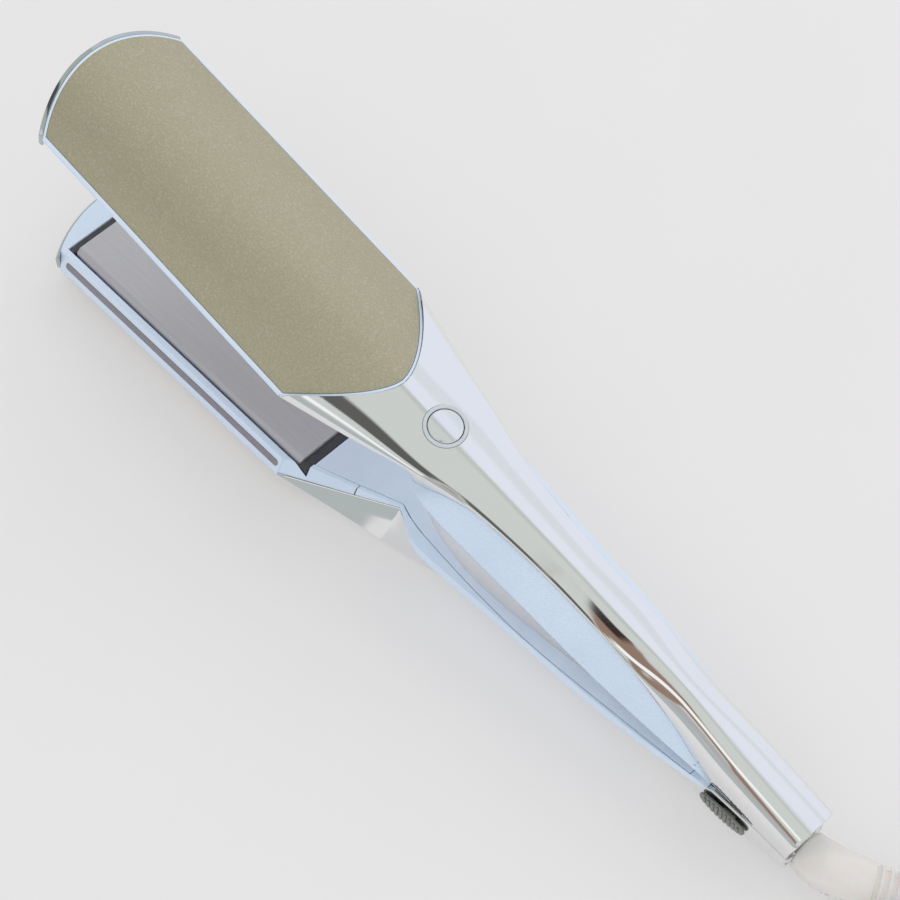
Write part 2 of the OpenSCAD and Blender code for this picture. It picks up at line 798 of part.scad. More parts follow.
// Points on the centre line of the cord, from the rear end, with z = 0 on the table
outlet_z = crown_h - outlet_h;
relief_path = [
  [-0.6, 0, outlet_z], [-6, 0, outlet_z], [-12, -1.5, 9], [-18, -4.5, 8.8], [-25, -9, 8.4],
  [-33, -15, 7.6]
];
cord_path = [[-42, -21.3, 6.4], [-52, -26.2, 5.1], [-62, -28.9, 4.1]];
hank_x = -90;
pitch = cord_d + 0.7;
hank_in = hank_w / 2 - loops * pitch / 2;
hank_out = hank_w / 2 + loops * pitch / 2;
tie_t = 0.8;
tie_gap = 0.12;
hank_low = cord_d / 2 + tie_gap + tie_t;
hank_top = hank_low + (layers - 1) * pitch;
plug_x = -180;
plug_y = -16;
plug_h = 13.7;
route = concat(relief_path, cord_path, [
  [-72, -hank_out, hank_low], [hank_x + cord_d, -hank_out, hank_low], [hank_x, -hank_out, hank_low]
]);
tail_route = [
  [hank_x, -hank_out, hank_top], [hank_x - cord_d, -hank_out, hank_top],
  [-102, -hank_out, hank_top], [-109, 0.2 - hank_out, hank_top], [-117, -28.2, hank_top - 1.2],
  [-126, -26.4, hank_top - 4.9], [-135, -24.1, hank_top - 10.2], [-144, -21.6, 19], [-153, -19.2, 13.4],
  [-162, -17.3, 9.1], [-171, -16.2, plug_h / 2],
  [plug_x + cord_d, plug_y, plug_h / 2], [plug_x, plug_y, plug_h / 2]
];

function numbered(points) = [for (i = [0:len(points) - 1]) [i, points[i]]];
function unit(v) = v / norm(v);
function flat_side(t) = unit(cross([0, 0, 1], t));
function ring_at(c, t, r, sides) =
  let (u = flat_side(t), v = cross(t, u))
  [for (k = [0:sides - 1]) let (a = 360 * (k + 0.5) / sides) c + r * (cos(a) * u + sin(a) * v)];
function heading(rows, s) =
  let (last = len(rows) - 1)
  s <= 0 ? unit(rows[1][1] - rows[0][1])
  : s >= last ? unit(rows[last][1] - rows[last - 1][1])
  : unit(smooth(rows, min(s + 0.01, last)) - smooth(rows, max(s - 0.01, 0)));
function swept(points, stops, radii, sides) =
  let (rows = numbered(points))
  [for (i = [0:len(stops) - 1])
    ring_at(smooth(rows, stops[i]), heading(rows, stops[i]), radii[i], sides)];

// Strain relief: a smooth collar, then ribs that get smaller towards the cord
relief_end = len(relief_path) - 1;
relief_r = relief_d / 2;
rib_from = 3.1;
ribs = 7;
smooth_stops = [0, 0.5, 1, 1.5, 2, 2.5, 3];
rib_step = (relief_end - rib_from) / ribs;
rib_stops = [for (i = [0:ribs - 1], k = [0:3]) rib_from + (i + [0, 0.1, 0.55, 0.65][k]) * rib_step];
function relief_radius(s) =
  s < 1 ? relief_r - 0.8 + 0.8 * s : relief_r - max(0, s - 2.5) * (relief_r - 3.9) / (relief_end - 2.5);
module strain_relief() {
  stops = concat(smooth_stops, rib_stops, [relief_end]);
  radii = [for (i = [0:len(stops) - 1]) let (k = i - len(smooth_stops))
    relief_radius(stops[i]) - (k >= 0 && k < 4 * ribs && (k % 4 == 1 || k % 4 == 2) ? 0.8 : 0)];
  color([0.93, 0.90, 0.84]) loft(swept(route, stops, radii, 16));
}
module cord() {
  last = len(route) - 1;
  stops = spread(relief_end, last, 14);
  color([0.92, 0.91, 0.88]) loft(swept(route, stops, [for (s = stops) cord_d / 2], 10));
}
module cord_tail() {
  stops = spread(0, len(tail_route) - 1, 24);
  color([0.92, 0.91, 0.88]) loft(swept(tail_route, stops, [for (s = stops) cord_d / 2], 10));
}

// Hank: long loops spiral in and out at a steady rate, and climb where the spiral reverses
turns = loops * layers;
steps = 32;
bend = PI * hank_w / 2;
turn_len = 2 * hank_run + 2 * bend;
function hank_radius(t) =
  let (k = floor(t / loops), f = t / loops - k)
  k % 2 == 0 ? hank_out - f * loops * pitch : hank_in + f * loops * pitch;
function hank_height(t) =
  let (k = round(t / loops), f = min(1, max(0, (t - k * loops) / 0.5 + 0.5)))
  hank_low + pitch * (k == 0 ? 0 : k == layers ? layers - 1 : k - 1 + f);
function hank_spot(u, r) =
  u < hank_run / 2 ? [-u, -r]
  : u < hank_run / 2 + bend ?
    let (a = 180 * (u - hank_run / 2) / bend) [-hank_run / 2 - r * sin(a), -r * cos(a)]
  : u < 1.5 * hank_run + bend ? [u - hank_run - bend, r]
  : u < 1.5 * hank_run + 2 * bend ?
    let (a = 180 * (u - 1.5 * hank_run - bend) / bend) [hank_run / 2 + r * sin(a), r * cos(a)]
  : [turn_len - u, -r];
function hank_point(t) =
  let (p = hank_spot((t - floor(t)) * turn_len, hank_radius(t)))
  [hank_x + p[0], p[1], hank_height(t)];
hank_ts = spread(0, turns, turns * steps);
hank_points = [for (t = hank_ts) hank_point(t)];
function hank_heading(i) =
  i == 0 || i == len(hank_points) - 1 ? [-1, 0, 0]
  : unit(hank_points[i + 1] - hank_points[i - 1]);
hank_gap = min([for (i = [0:2:len(hank_points) - 1], k = [1:4])
  let (j = i + k * steps)
  if (j < len(hank_points)) norm(hank_points[i] - hank_points[j]) - cord_d]);
module cord_hank() {
  color([0.92, 0.91, 0.88])
    loft([for (i = [0:len(hank_points) - 1])
      ring_at(hank_points[i], hank_heading(i), cord_d / 2, 6)]);
}

// Tie: a soft band round both sides of the hank, with its lower strip on the table
tie_left = hank_radius(0.5) + 0.3;
module tie_section(grow) {
  r = cord_d / 2 + tie_gap + grow;
  for (y = [-hank_out, tie_left], z = [hank_low, hank_top])
    translate([z, y]) circle(r = r);
  translate([hank_low - r, -hank_out]) square([hank_top - hank_low + 2 * r, tie_left + hank_out]);
  translate([hank_low, -hank_out - r]) square([hank_top - hank_low, tie_left + hank_out + 2 * r]);
}
module cord_tie() {
  color([0.30, 0.31, 0.33])
    translate([hank_x, 0, 0])
      rotate([0, -90, 0])
        linear_extrude(tie_w, center = true)
          difference() {
            tie_section(tie_t);
            tie_section(0);
          }
}

// Plug with two round pins, lying on its flat side
plug_w = 34;
plug_len = 36;
module plug_body() {
  color([0.92, 0.91, 0.88])
    translate([plug_x, plug_y, 0])
      difference() {
        linear_extrude(plug_h)
          polygon([
            [0, -4], [0, 4], [-12, 6], [-20, plug_w / 2 - 2], [-24, plug_w / 2],
            [-plug_len, plug_w / 2 - 1], [-plug_len, 1 - plug_w / 2], [-24, -plug_w / 2],
            [-20, 2 - plug_w / 2], [-12, -6]
          ]);
        for (y = [-plug_pin_pitch / 2, plug_pin_pitch / 2])
          translate([-plug_len - 1, y, plug_h / 2])
            rotate([0, 90, 0]) cylinder(r = plug_pin_d / 2 - 0.4, h = 9);
      }
}
module plug_pins() {
  color([0.80, 0.78, 0.70])
    translate([plug_x, plug_y, 0])
      for (y = [-plug_pin_pitch / 2, plug_pin_pitch / 2])
        translate([-plug_len - plug_pin_len, y, plug_h / 2])
          rotate([0, 90, 0]) {
            cylinder(r = plug_pin_d / 2, h = plug_pin_len);
            cylinder(r = plug_pin_d / 2 - 0.45, h = plug_pin_len + 7.9);
          }
}

module from_rear() {
  translate([-center_x, 0, 0]) children();
}
echo(hank_gap = hank_gap);

on_lower() gold_panel();  // lower_gold_panel
on_upper() gold_panel();  // upper_gold_panel
on_lower() chrome_shell() lock_slot();  // lower_chrome_shell
on_upper() chrome_shell() button_hole();  // upper_chrome_shell
on_lower() end_cap() outlet_holes();  // lower_end_cap
on_upper() end_cap();  // upper_end_cap
on_lower() tip_trim();  // lower_tip_trim
on_upper() tip_trim();  // upper_tip_trim
on_lower() head_housing();  // lower_head_housing
on_upper() head_housing();  // upper_head_housing
on_lower() frame() { supply_channel(); lock_notch(); }  // lower_frame
on_upper() frame() button_well();  // upper_frame
on_lower() inner_cover();  // lower_inner_cover
on_upper() inner_cover() display_holes();  // upper_inner_cover
on_lower() side_pads();  // lower_side_pads
on_upper() side_pads();  // upper_side_pads
on_lower() plate();  // lower_plate
on_upper() plate();  // upper_plate
on_lower() heater();  // lower_heater
on_upper() heater();  // upper_heater
on_lower() cushion();  // lower_cushion
on_upper() cushion();  // upper_cushion
on_lower() hinge_block(knuckle_in) { screw_holes(); outlet_holes(); supply_channel(); }  // lower_hinge_block
on_upper() hinge_block(knuckle_out) screw_holes();  // upper_hinge_block
on_lower() hinge_pin();
on_lower() hinge_spring();
on_lower() hinge_screws();  // lower_hinge_screws
on_upper() hinge_screws();  // upper_hinge_screws
on_lower() lock_slider();
on_upper() power_button();
on_upper() button_ring();
on_upper() button_spring();
on_upper() power_switch();
on_upper() control_board();
on_upper() display_window();
on_upper() key(0);  // temp_up_button
on_upper() key(1);  // temp_down_button
on_lower() power_board();
on_lower() heater_leads();  // lower_heater_leads
on_upper() heater_leads();  // upper_heater_leads
on_lower() supply_leads();
on_lower() cord_swivel();
from_rear() strain_relief();
from_rear() cord();
from_rear() cord_hank();
from_rear() cord_tie();
from_rear() cord_tail();
from_rear() plug_body();
from_rear() plug_pins();
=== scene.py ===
import json
import math

import bmesh
import bpy
import numpy as np
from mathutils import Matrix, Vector

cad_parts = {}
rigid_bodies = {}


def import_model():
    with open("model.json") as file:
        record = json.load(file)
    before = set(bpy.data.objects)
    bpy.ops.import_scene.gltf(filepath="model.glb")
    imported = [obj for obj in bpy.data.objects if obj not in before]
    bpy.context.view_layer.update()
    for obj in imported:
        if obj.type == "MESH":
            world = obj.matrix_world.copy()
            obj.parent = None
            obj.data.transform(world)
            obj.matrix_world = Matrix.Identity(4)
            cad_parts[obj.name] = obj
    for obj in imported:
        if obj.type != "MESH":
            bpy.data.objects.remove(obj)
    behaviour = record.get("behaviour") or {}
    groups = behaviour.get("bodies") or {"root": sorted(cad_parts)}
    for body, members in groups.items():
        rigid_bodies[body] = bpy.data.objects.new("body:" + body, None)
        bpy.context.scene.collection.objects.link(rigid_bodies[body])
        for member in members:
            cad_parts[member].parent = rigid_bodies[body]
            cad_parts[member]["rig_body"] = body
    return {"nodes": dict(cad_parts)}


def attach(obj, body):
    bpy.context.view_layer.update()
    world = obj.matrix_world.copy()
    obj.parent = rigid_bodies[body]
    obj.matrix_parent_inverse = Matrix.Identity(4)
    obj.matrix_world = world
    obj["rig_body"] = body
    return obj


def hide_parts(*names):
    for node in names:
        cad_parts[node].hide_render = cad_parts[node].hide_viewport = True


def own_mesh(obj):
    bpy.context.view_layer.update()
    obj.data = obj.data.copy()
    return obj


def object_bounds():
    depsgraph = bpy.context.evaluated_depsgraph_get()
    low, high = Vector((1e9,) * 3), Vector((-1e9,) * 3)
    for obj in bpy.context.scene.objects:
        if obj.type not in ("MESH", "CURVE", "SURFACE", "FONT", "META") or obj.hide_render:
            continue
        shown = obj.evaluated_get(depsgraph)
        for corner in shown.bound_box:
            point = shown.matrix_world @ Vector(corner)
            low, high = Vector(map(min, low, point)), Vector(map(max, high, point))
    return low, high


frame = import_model()
cad_low, cad_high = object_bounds()

# Camera
# It looks down on the open arms from above the rear end. The whole length fills the square
# frame from corner to corner, and the cord leaves it at the lower right.
MM = 0.001
CAMERA_TARGET = Vector((5.18, -12.80, 15.0)) * MM
CAMERA_AWAY = Vector((-0.3678, 0.3497, 0.8616)).normalized()
CAMERA_DISTANCE = 650.9 * MM


def added(name, data):
    """New object in the scene."""
    thing = bpy.data.objects.new(name, data)
    bpy.context.scene.collection.objects.link(thing)
    return thing


camera_data = bpy.data.cameras.new("studio_camera")
camera_data.lens = 96
camera_data.sensor_width = 36
camera_data.clip_start, camera_data.clip_end = 0.02, 20
camera = added("studio_camera", camera_data)
camera.location = CAMERA_TARGET + CAMERA_AWAY * CAMERA_DISTANCE
camera.rotation_mode = "QUATERNION"
camera.rotation_quaternion = (-CAMERA_AWAY).to_track_quat("-Z", "Y")
bpy.context.scene.camera = camera
bpy.context.scene.view_settings.view_transform = "Standard"

# Supply cord
# A round flex of 5.6 mm in soft white vinyl. It leaves the ribbed protector, is folded into a
# tied hank of six layers in line behind the handle, and ends in the plug behind the hank.
HANDLE, HEAD, REAR_H = 171.0, 103.5, 11.0
HINGE_X, OPENING = 10.75, math.radians(12.4)
BODY_LEN = HANDLE + HEAD
CENTER_X = (BODY_LEN + HINGE_X * (1 - math.cos(OPENING)) - REAR_H * math.sin(OPENING)) / 2
CORD_D = 5.6
OUTLET_Z = 9.0
RELIEF_PATH = [
    (-0.6, 0, OUTLET_Z), (-6, 0, OUTLET_Z), (-12, -1.5, 9), (-18, -4.5, 8.8),
    (-25, -9, 8.4), (-33, -15, 7.6),
]
CORD_PATH = [(-42, -21.3, 6.4), (-52, -26.2, 5.1), (-62, -28.9, 4.1)]
HANK_X, HANK_W, HANK_RUN, LOOPS, LAYERS = -90, 46.2, 24.5, 2, 6
PITCH = CORD_D + 0.7
HANK_IN, HANK_OUT = HANK_W / 2 - LOOPS * PITCH / 2, HANK_W / 2 + LOOPS * PITCH / 2
TIE_T, TIE_GAP = 0.8, 0.12
HANK_LOW = CORD_D / 2 + TIE_GAP + TIE_T
HANK_TOP = HANK_LOW + (LAYERS - 1) * PITCH
PLUG_X, PLUG_Y, PLUG_H = -180, -16, 13.7
ROUTE = RELIEF_PATH + CORD_PATH + [
    (-72, -HANK_OUT, HANK_LOW), (HANK_X + CORD_D, -HANK_OUT, HANK_LOW),
    (HANK_X, -HANK_OUT, HANK_LOW),
]
TAIL_ROUTE = [
    (HANK_X, -HANK_OUT, HANK_TOP), (HANK_X - CORD_D, -HANK_OUT, HANK_TOP),
    (-102, -HANK_OUT, HANK_TOP), (-109, 0.2 - HANK_OUT, HANK_TOP), (-117, -28.2, HANK_TOP - 1.2),
    (-126, -26.4, HANK_TOP - 4.9), (-135, -24.1, HANK_TOP - 10.2), (-144, -21.6, 19),
    (-153, -19.2, 13.4), (-162, -17.3, 9.1), (-171, -16.2, PLUG_H / 2),
    (PLUG_X + CORD_D, PLUG_Y, PLUG_H / 2), (PLUG_X, PLUG_Y, PLUG_H / 2),
]


def smooth(rows, x):
    """Point on a smooth curve through rows of (position, value)."""
    at = [r[0] for r in rows]
    value = [np.asarray(r[1], float) for r in rows]
    i = min(max(int(np.searchsorted(at, x, side="right")) - 1, 0), len(rows) - 2)

    def slope(k):
        a, b = max(k - 1, 0), min(k + 1, len(rows) - 1)
        return (value[b] - value[a]) / (at[b] - at[a])

    h = at[i + 1] - at[i]
    s = (x - at[i]) / h
    return (
        (2 * s**3 - 3 * s**2 + 1) * value[i] + (s**3 - 2 * s**2 + s) * h * slope(i)
        + (3 * s**2 - 2 * s**3) * value[i + 1] + (s**3 - s**2) * h * slope(i + 1)
    )


def hank_point(t):
    """Point of the hank after t turns: two straight runs and two bends in each turn."""
    k, f = int(t // LOOPS), t / LOOPS - t // LOOPS
    r = HANK_OUT - f * LOOPS * PITCH if k % 2 == 0 else HANK_IN + f * LOOPS * PITCH
    layer = math.floor(t / LOOPS + 0.5)
    rise = min(1, max(0, (t - layer * LOOPS) / 0.5 + 0.5))
    up = 0 if layer == 0 else LAYERS - 1 if layer == LAYERS else layer - 1 + rise
    bend = math.pi * HANK_W / 2
    u = (t - math.floor(t)) * 2 * (HANK_RUN + bend)
    if u < HANK_RUN / 2:
        x, y = -u, -r
    elif u < HANK_RUN / 2 + bend:
        a = math.pi * (u - HANK_RUN / 2) / bend
        x, y = -HANK_RUN / 2 - r * math.sin(a), -r * math.cos(a)
    elif u < 1.5 * HANK_RUN + bend:
        x, y = u - HANK_RUN - bend, r
    elif u < 1.5 * HANK_RUN + 2 * bend:
        a = math.pi * (u - 1.5 * HANK_RUN - bend) / bend
        x, y = HANK_RUN / 2 + r * math.sin(a), r * math.cos(a)
    else:
        x, y = 2 * (HANK_RUN + bend) - u, -r
    return (HANK_X + x, y, HANK_LOW + PITCH * up)


def from_rear(point):
    return ((point[0] - CENTER_X) * MM, point[1] * MM, point[2] * MM)


route_rows, tail_rows = list(enumerate(ROUTE)), list(enumerate(TAIL_ROUTE))
RELIEF_END = len(RELIEF_PATH) - 1
TURN_STEPS = 56
flex_points = [smooth(route_rows, s) for s in np.linspace(RELIEF_END, len(ROUTE) - 1, 48)]
flex_points += [hank_point(i / TURN_STEPS) for i in range(1, LOOPS * LAYERS * TURN_STEPS)]
flex_points += [smooth(tail_rows, s) for s in np.linspace(0, len(TAIL_ROUTE) - 1, 60)]
flex_points = [from_rear(p) for p in flex_points]


def linear(red, green, blue):
    """Linear colour from the 0 to 255 values that a screen shows."""
    return tuple(
        c / 12.92 if c <= 0.04045 else ((c + 0.055) / 1.055) ** 2.4
        for c in (red / 255, green / 255, blue / 255)
    )


def added_node(tree, kind, inputs, **settings):
    """New node with its settings. Its inputs are set to values or linked to sockets."""
    node = tree.nodes.new(kind)
    for name, value in settings.items():
        setattr(node, name, value)
    for socket, value in inputs.items():
        if isinstance(value, bpy.types.NodeSocket):
            tree.links.new(value, node.inputs[socket])
        else:
            node.inputs[socket].default_value = value
    return node


def surface(name, dark, pale, grain, rough, bump=0.0, bump_grain=0.3, **sockets):
    """Principled material: two close tones mottled at grain mm, roughness that wanders
    between two values, a fine bump, and constant sockets set on the shader itself."""
    material = bpy.data.materials.new(name)
    material.use_nodes = True
    tree = material.node_tree
    shader = tree.nodes["Principled BSDF"]
    place = added_node(tree, "ShaderNodeTexCoord", {}).outputs["Object"]

    def noise(size, detail):
        return added_node(tree, "ShaderNodeTexNoise", {
            "Scale": 1 / (size * MM), "Detail": detail, "Vector": place,
        }).outputs["Fac"]

    tone = added_node(tree, "ShaderNodeValToRGB", {"Fac": noise(grain, 4)})
    for stop, at, colour in zip(tone.color_ramp.elements, (0.3, 0.7), (dark, pale)):
        stop.position, stop.color = at, (*colour, 1)
    tree.links.new(tone.outputs["Color"], shader.inputs["Base Color"])
    spread = added_node(tree, "ShaderNodeMapRange", {
        "Value": noise(9, 6), "From Min": 0.3, "From Max": 0.7,
        "To Min": rough[0], "To Max": rough[1],
    })
    tree.links.new(spread.outputs["Result"], shader.inputs["Roughness"])
    if bump:
        relief = added_node(tree, "ShaderNodeBump", {
            "Strength": 0.6, "Distance": bump * MM, "Height": noise(bump_grain, 3),
        })
        tree.links.new(relief.outputs["Normal"], shader.inputs["Normal"])
    for socket, value in sockets.items():
        shader.inputs[socket.replace("_", " ")].default_value = value
    return material


vinyl = surface(
    "cord_vinyl", linear(222, 220, 213), linear(231, 229, 223), 6, (0.38, 0.46), 0.02, 0.6,
    Subsurface_Weight=0.25, Subsurface_Scale=0.002,
)
flex_curve = bpy.data.curves.new("supply_cord", "CURVE")
flex_curve.dimensions = "3D"
flex_curve.bevel_depth = CORD_D / 2 * MM
flex_curve.bevel_resolution = 4
flex_curve.use_fill_caps = True
spline = flex_curve.splines.new("POLY")
spline.points.add(len(flex_points) - 1)
for spot, place in zip(spline.points, flex_points):
    spot.co = (*place, 1)
spline.use_smooth = True
flex = added("supply_cord", flex_curve)
flex_curve.materials.append(vinyl)
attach(flex, "lower_arm")
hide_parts("cord", "cord_hank", "cord_tail")

# Cord protector
# A translucent cream sleeve of soft rubber on the swivel collar. It is plain where it leaves
# the handle, and its ribs get smaller towards the cord so that it bends evenly.
RELIEF_R = 6.4
RIBS, RIB_FROM = 7, 3.1


def new_piece(name, points, faces, material=None):
    mesh = bpy.data.meshes.new(name)
    mesh.from_pydata([tuple(p) for p in points], [], faces)
    mesh.update()
    if material:
        mesh.materials.append(material)
    return added(name, mesh)


def outwards(piece):
    """Turns the faces of a closed mesh outwards."""
    mesh = bmesh.new()
    mesh.from_mesh(piece.data)
    bmesh.ops.recalc_face_normals(mesh, faces=mesh.faces)
    mesh.to_mesh(piece.data)
    mesh.free()


def shaded(piece, angle):
    """Smooth shading that keeps the edges sharper than the angle."""
    piece.data.shade_smooth()
    piece.data.set_sharp_from_angle(angle=math.radians(angle))


def relief_profile():
    """Stops along the route and the sleeve's radius there."""
    stops, radii = [], []
    step = (RELIEF_END - RIB_FROM) / RIBS

    def taper(s):
        if s < 1:
            return RELIEF_R - 0.8 + 0.8 * s
        return RELIEF_R - max(0, s - 2.5) * (RELIEF_R - 3.9) / (RELIEF_END - 2.5)

    for s in np.linspace(0, RIB_FROM, 32):
        stops.append(s)
        radii.append(taper(s) - (0.5 if s == 0 else 0))
    for i in range(RIBS):
        for part, drop in ((0.02, 0.1), (0.1, 0.7), (0.14, 0.8), (0.5, 0.8), (0.55, 0.7),
                           (0.62, 0.1), (0.66, 0), (0.8, 0), (0.96, 0)):
            s = RIB_FROM + (i + part) * step
            stops.append(s)
            radii.append(taper(s) - drop)
    stops += [RELIEF_END - 0.02, RELIEF_END]
    radii += [taper(RELIEF_END) - 0.05, taper(RELIEF_END) - 0.5]
    return stops, radii


def swept(rows, stops, radii, sides):
    points = []
    for s, r in zip(stops, radii):
        here = smooth(rows, s)
        ahead = smooth(rows, min(s + 0.01, len(rows) - 1)) - smooth(rows, max(s - 0.01, 0))
        ahead /= np.linalg.norm(ahead)
        side = np.cross((0, 0, 1), ahead)
        side /= np.linalg.norm(side)
        top = np.cross(ahead, side)
        for k in range(sides):
            a = 2 * math.pi * (k + 0.5) / sides
            points.append(from_rear(here + r * (math.cos(a) * side + math.sin(a) * top)))
    return points


def tube_faces(rings, sides):
    faces = [
        (i * sides + j, i * sides + (j + 1) % sides,
         (i + 1) * sides + (j + 1) % sides, (i + 1) * sides + j)
        for i in range(rings - 1) for j in range(sides)
    ]
    faces.append(tuple(range(sides)))
    faces.append(tuple((rings - 1) * sides + j for j in range(sides)))
    return faces


cream = surface(
    "cream_rubber", linear(243, 240, 236), linear(249, 247, 244), 5, (0.25, 0.35), 0.02, 0.5,
    Subsurface_Weight=0.4, Subsurface_Scale=0.006, Transmission_Weight=0.3, IOR=1.4,
)
stops, radii = relief_profile()
SLEEVE_SIDES = 48
sleeve = new_piece(
    "cord_protector", swept(route_rows, stops, radii, SLEEVE_SIDES),
    tube_faces(len(stops), SLEEVE_SIDES), cream,
)
outwards(sleeve)
shaded(sleeve, 40)
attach(sleeve, "lower_arm")
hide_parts("strain_relief")

# Plug
# A moulded two pin plug in the cord's vinyl, with well rounded edges and nickel plated pins
# with rounded tips. A soft dark band ties the hank.


def round_edges(mesh, width, segments, angle):
    """Rounds the edges of a mesh that turn by more than the angle."""
    mesh.normal_update()
    sharp = [
        e for e in mesh.edges
        if len(e.link_faces) == 2 and e.calc_face_angle() > math.radians(angle)
    ]
    bmesh.ops.bevel(
        mesh, geom=sharp, offset=width * MM, segments=segments, profile=0.5,
        affect="EDGES", clamp_overlap=True,
    )


def softened(node, name, width, segments, angle, material):
    """A finer piece in a node's place: the node's own faces, with its edges rounded."""
    mesh = bmesh.new()
    mesh.from_mesh(frame["nodes"][node].data)
    bmesh.ops.remove_doubles(mesh, verts=mesh.verts, dist=2e-6)
    bmesh.ops.dissolve_limit(
        mesh, angle_limit=math.radians(0.4), verts=mesh.verts[:], edges=mesh.edges[:]
    )
    round_edges(mesh, width, segments, angle)
    data = bpy.data.meshes.new(name)
    mesh.to_mesh(data)
    mesh.free()
    data.materials.append(material)
    piece = added(name, data)
    shaded(piece, 32)
    body = frame["nodes"][node]["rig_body"]
    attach(piece, body)
    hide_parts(node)
    return piece


nickel = surface(
    "nickel_plate", linear(196, 194, 188), linear(206, 204, 198), 3, (0.14, 0.24), 0.004, 0.2,
    Metallic=1.0,
)
soft_band = surface(
    "tie_rubber", linear(72, 73, 76), linear(86, 87, 90), 2, (0.6, 0.75), 0.04, 0.35,
)
plug = softened("plug_body", "plug", 2.2, 5, 35, vinyl)
tie = softened("cord_tie", "hank_tie", 0.3, 3, 35, soft_band)
pins = softened("plug_pins", "plug_contacts", 0.7, 3, 35, nickel)

# Floor and light
# A pale seamless sheet under a soft even studio light. It glows a little to the camera and in
# mirrors, so that shadows on it stay soft. Mirror surfaces see a bright window on one side, a
# greyer wall on the other, and a few narrow strips of wood, shade and lamp light.
FLOOR_Z = cad_low.z - 0.0001
FLOOR_HALF = 6.0
FLOOR_GLOW = 0.45
floor_tone = linear(231, 230, 230)
floor_corners = ((-1, -1), (1, -1), (1, 1), (-1, 1))
floor = new_piece(
    "studio_floor", [(x * FLOOR_HALF, y * FLOOR_HALF, FLOOR_Z) for x, y in floor_corners],
    [(0, 1, 2, 3)],
    surface("studio_paper", floor_tone, linear(233, 232, 232), 60, (0.85, 0.9)),
)


def calculate(tree, operation, a, b, clamp=False):
    return added_node(
        tree, "ShaderNodeMath", {0: a, 1: b}, operation=operation, use_clamp=clamp
    ).outputs[0]


def shader_choice(tree, amount, first, second, output):
    """Sends a mix of two shaders to the output node's surface."""
    mix = added_node(tree, "ShaderNodeMixShader", {
        0: amount, 1: first.outputs[0], 2: second.outputs[0],
    })
    tree.links.new(mix.outputs[0], output.inputs["Surface"])


paper = floor.data.materials[0].node_tree
ray = added_node(paper, "ShaderNodeLightPath", {}).outputs
in_sight = calculate(paper, "MAXIMUM", ray["Is Camera Ray"], ray["Is Glossy Ray"])
shader_choice(
    paper, calculate(paper, "MULTIPLY", in_sight, FLOOR_GLOW), paper.nodes["Principled BSDF"],
    added_node(paper, "ShaderNodeEmission", {"Color": (*floor_tone, 1)}),
    paper.nodes["Material Output"],
)


def area_light(name, place, size, power, colour):
    light = bpy.data.lights.new(name, "AREA")
    light.shape = "SQUARE"
    light.size = size
    light.energy = power
    light.color = colour
    lamp = added(name, light)
    lamp.location = place
    lamp.rotation_mode = "QUATERNION"
    lamp.rotation_quaternion = Vector(place).to_track_quat("Z", "Y")
    lamp.visible_glossy = False
    lamp.visible_camera = False


area_light("window_light", (0.25, -1.0, 1.15), 1.3, 3.8, (0.97, 0.985, 1.0))
area_light("fill_light", (-0.9, 0.8, 1.2), 1.4, 2.6, (1.0, 0.995, 0.985))

world = bpy.data.worlds.new("studio_room")
bpy.context.scene.world = world
world.use_nodes = True
room = world.node_tree
room.nodes.clear()


def step(value, edge, softness):
    """0 below the edge, 1 above it, with a soft change."""
    start = calculate(room, "SUBTRACT", value, edge - softness / 2)
    return calculate(room, "DIVIDE", start, softness, True)


def unless(amount):
    return calculate(room, "SUBTRACT", 1.0, amount)


def both(a, b):
    return calculate(room, "MULTIPLY", a, b)


def between(value, low, high, softness):
    """1 between the two edges, 0 outside them."""
    return both(step(value, low, softness), unless(step(value, high, softness)))


def mixed(amount, a, b):
    a, b = ((*tone, 1) if isinstance(tone, tuple) else tone for tone in (a, b))
    mix = added_node(room, "ShaderNodeMix", {"Factor": amount, 6: a, 7: b}, data_type="RGBA")
    return mix.outputs[2]


seen = added_node(room, "ShaderNodeTexCoord", {})
to_x, to_y, to_z = added_node(
    room, "ShaderNodeSeparateXYZ", {0: seen.outputs["Generated"]}
).outputs
window_tone = mixed(
    between(to_y, -0.57, -0.45, 0.04), linear(235, 239, 250), linear(225, 230, 236)
)
wall_tone = mixed(step(to_y, -0.29, 0.02), linear(200, 203, 198), linear(213, 217, 213))
room_tone = mixed(step(to_y, -0.33, 0.02), window_tone, wall_tone)
behind = calculate(room, "MAXIMUM", calculate(room, "SUBTRACT", -0.2, to_x), 0.0)
past_edge = calculate(room, "SUBTRACT", to_y, calculate(room, "MULTIPLY", behind, 2.2))
slanted_x = calculate(room, "ADD", to_x, calculate(room, "MULTIPLY", to_y, 0.04))
shade = both(between(past_edge, -0.3, -0.05, 0.04), step(to_x, -0.2, 0.02))
wood_tone = mixed(shade, (0.31, 0.205, 0.155), (0.045, 0.032, 0.03))
wood = both(step(past_edge, -0.19, 0.02), between(slanted_x, -0.305, -0.124, 0.006))
wood_end = both(between(to_x, -0.262, -0.16, 0.01), step(to_y, 0.3, 0.05))
ahead = step(to_x, -0.125, 0.01)
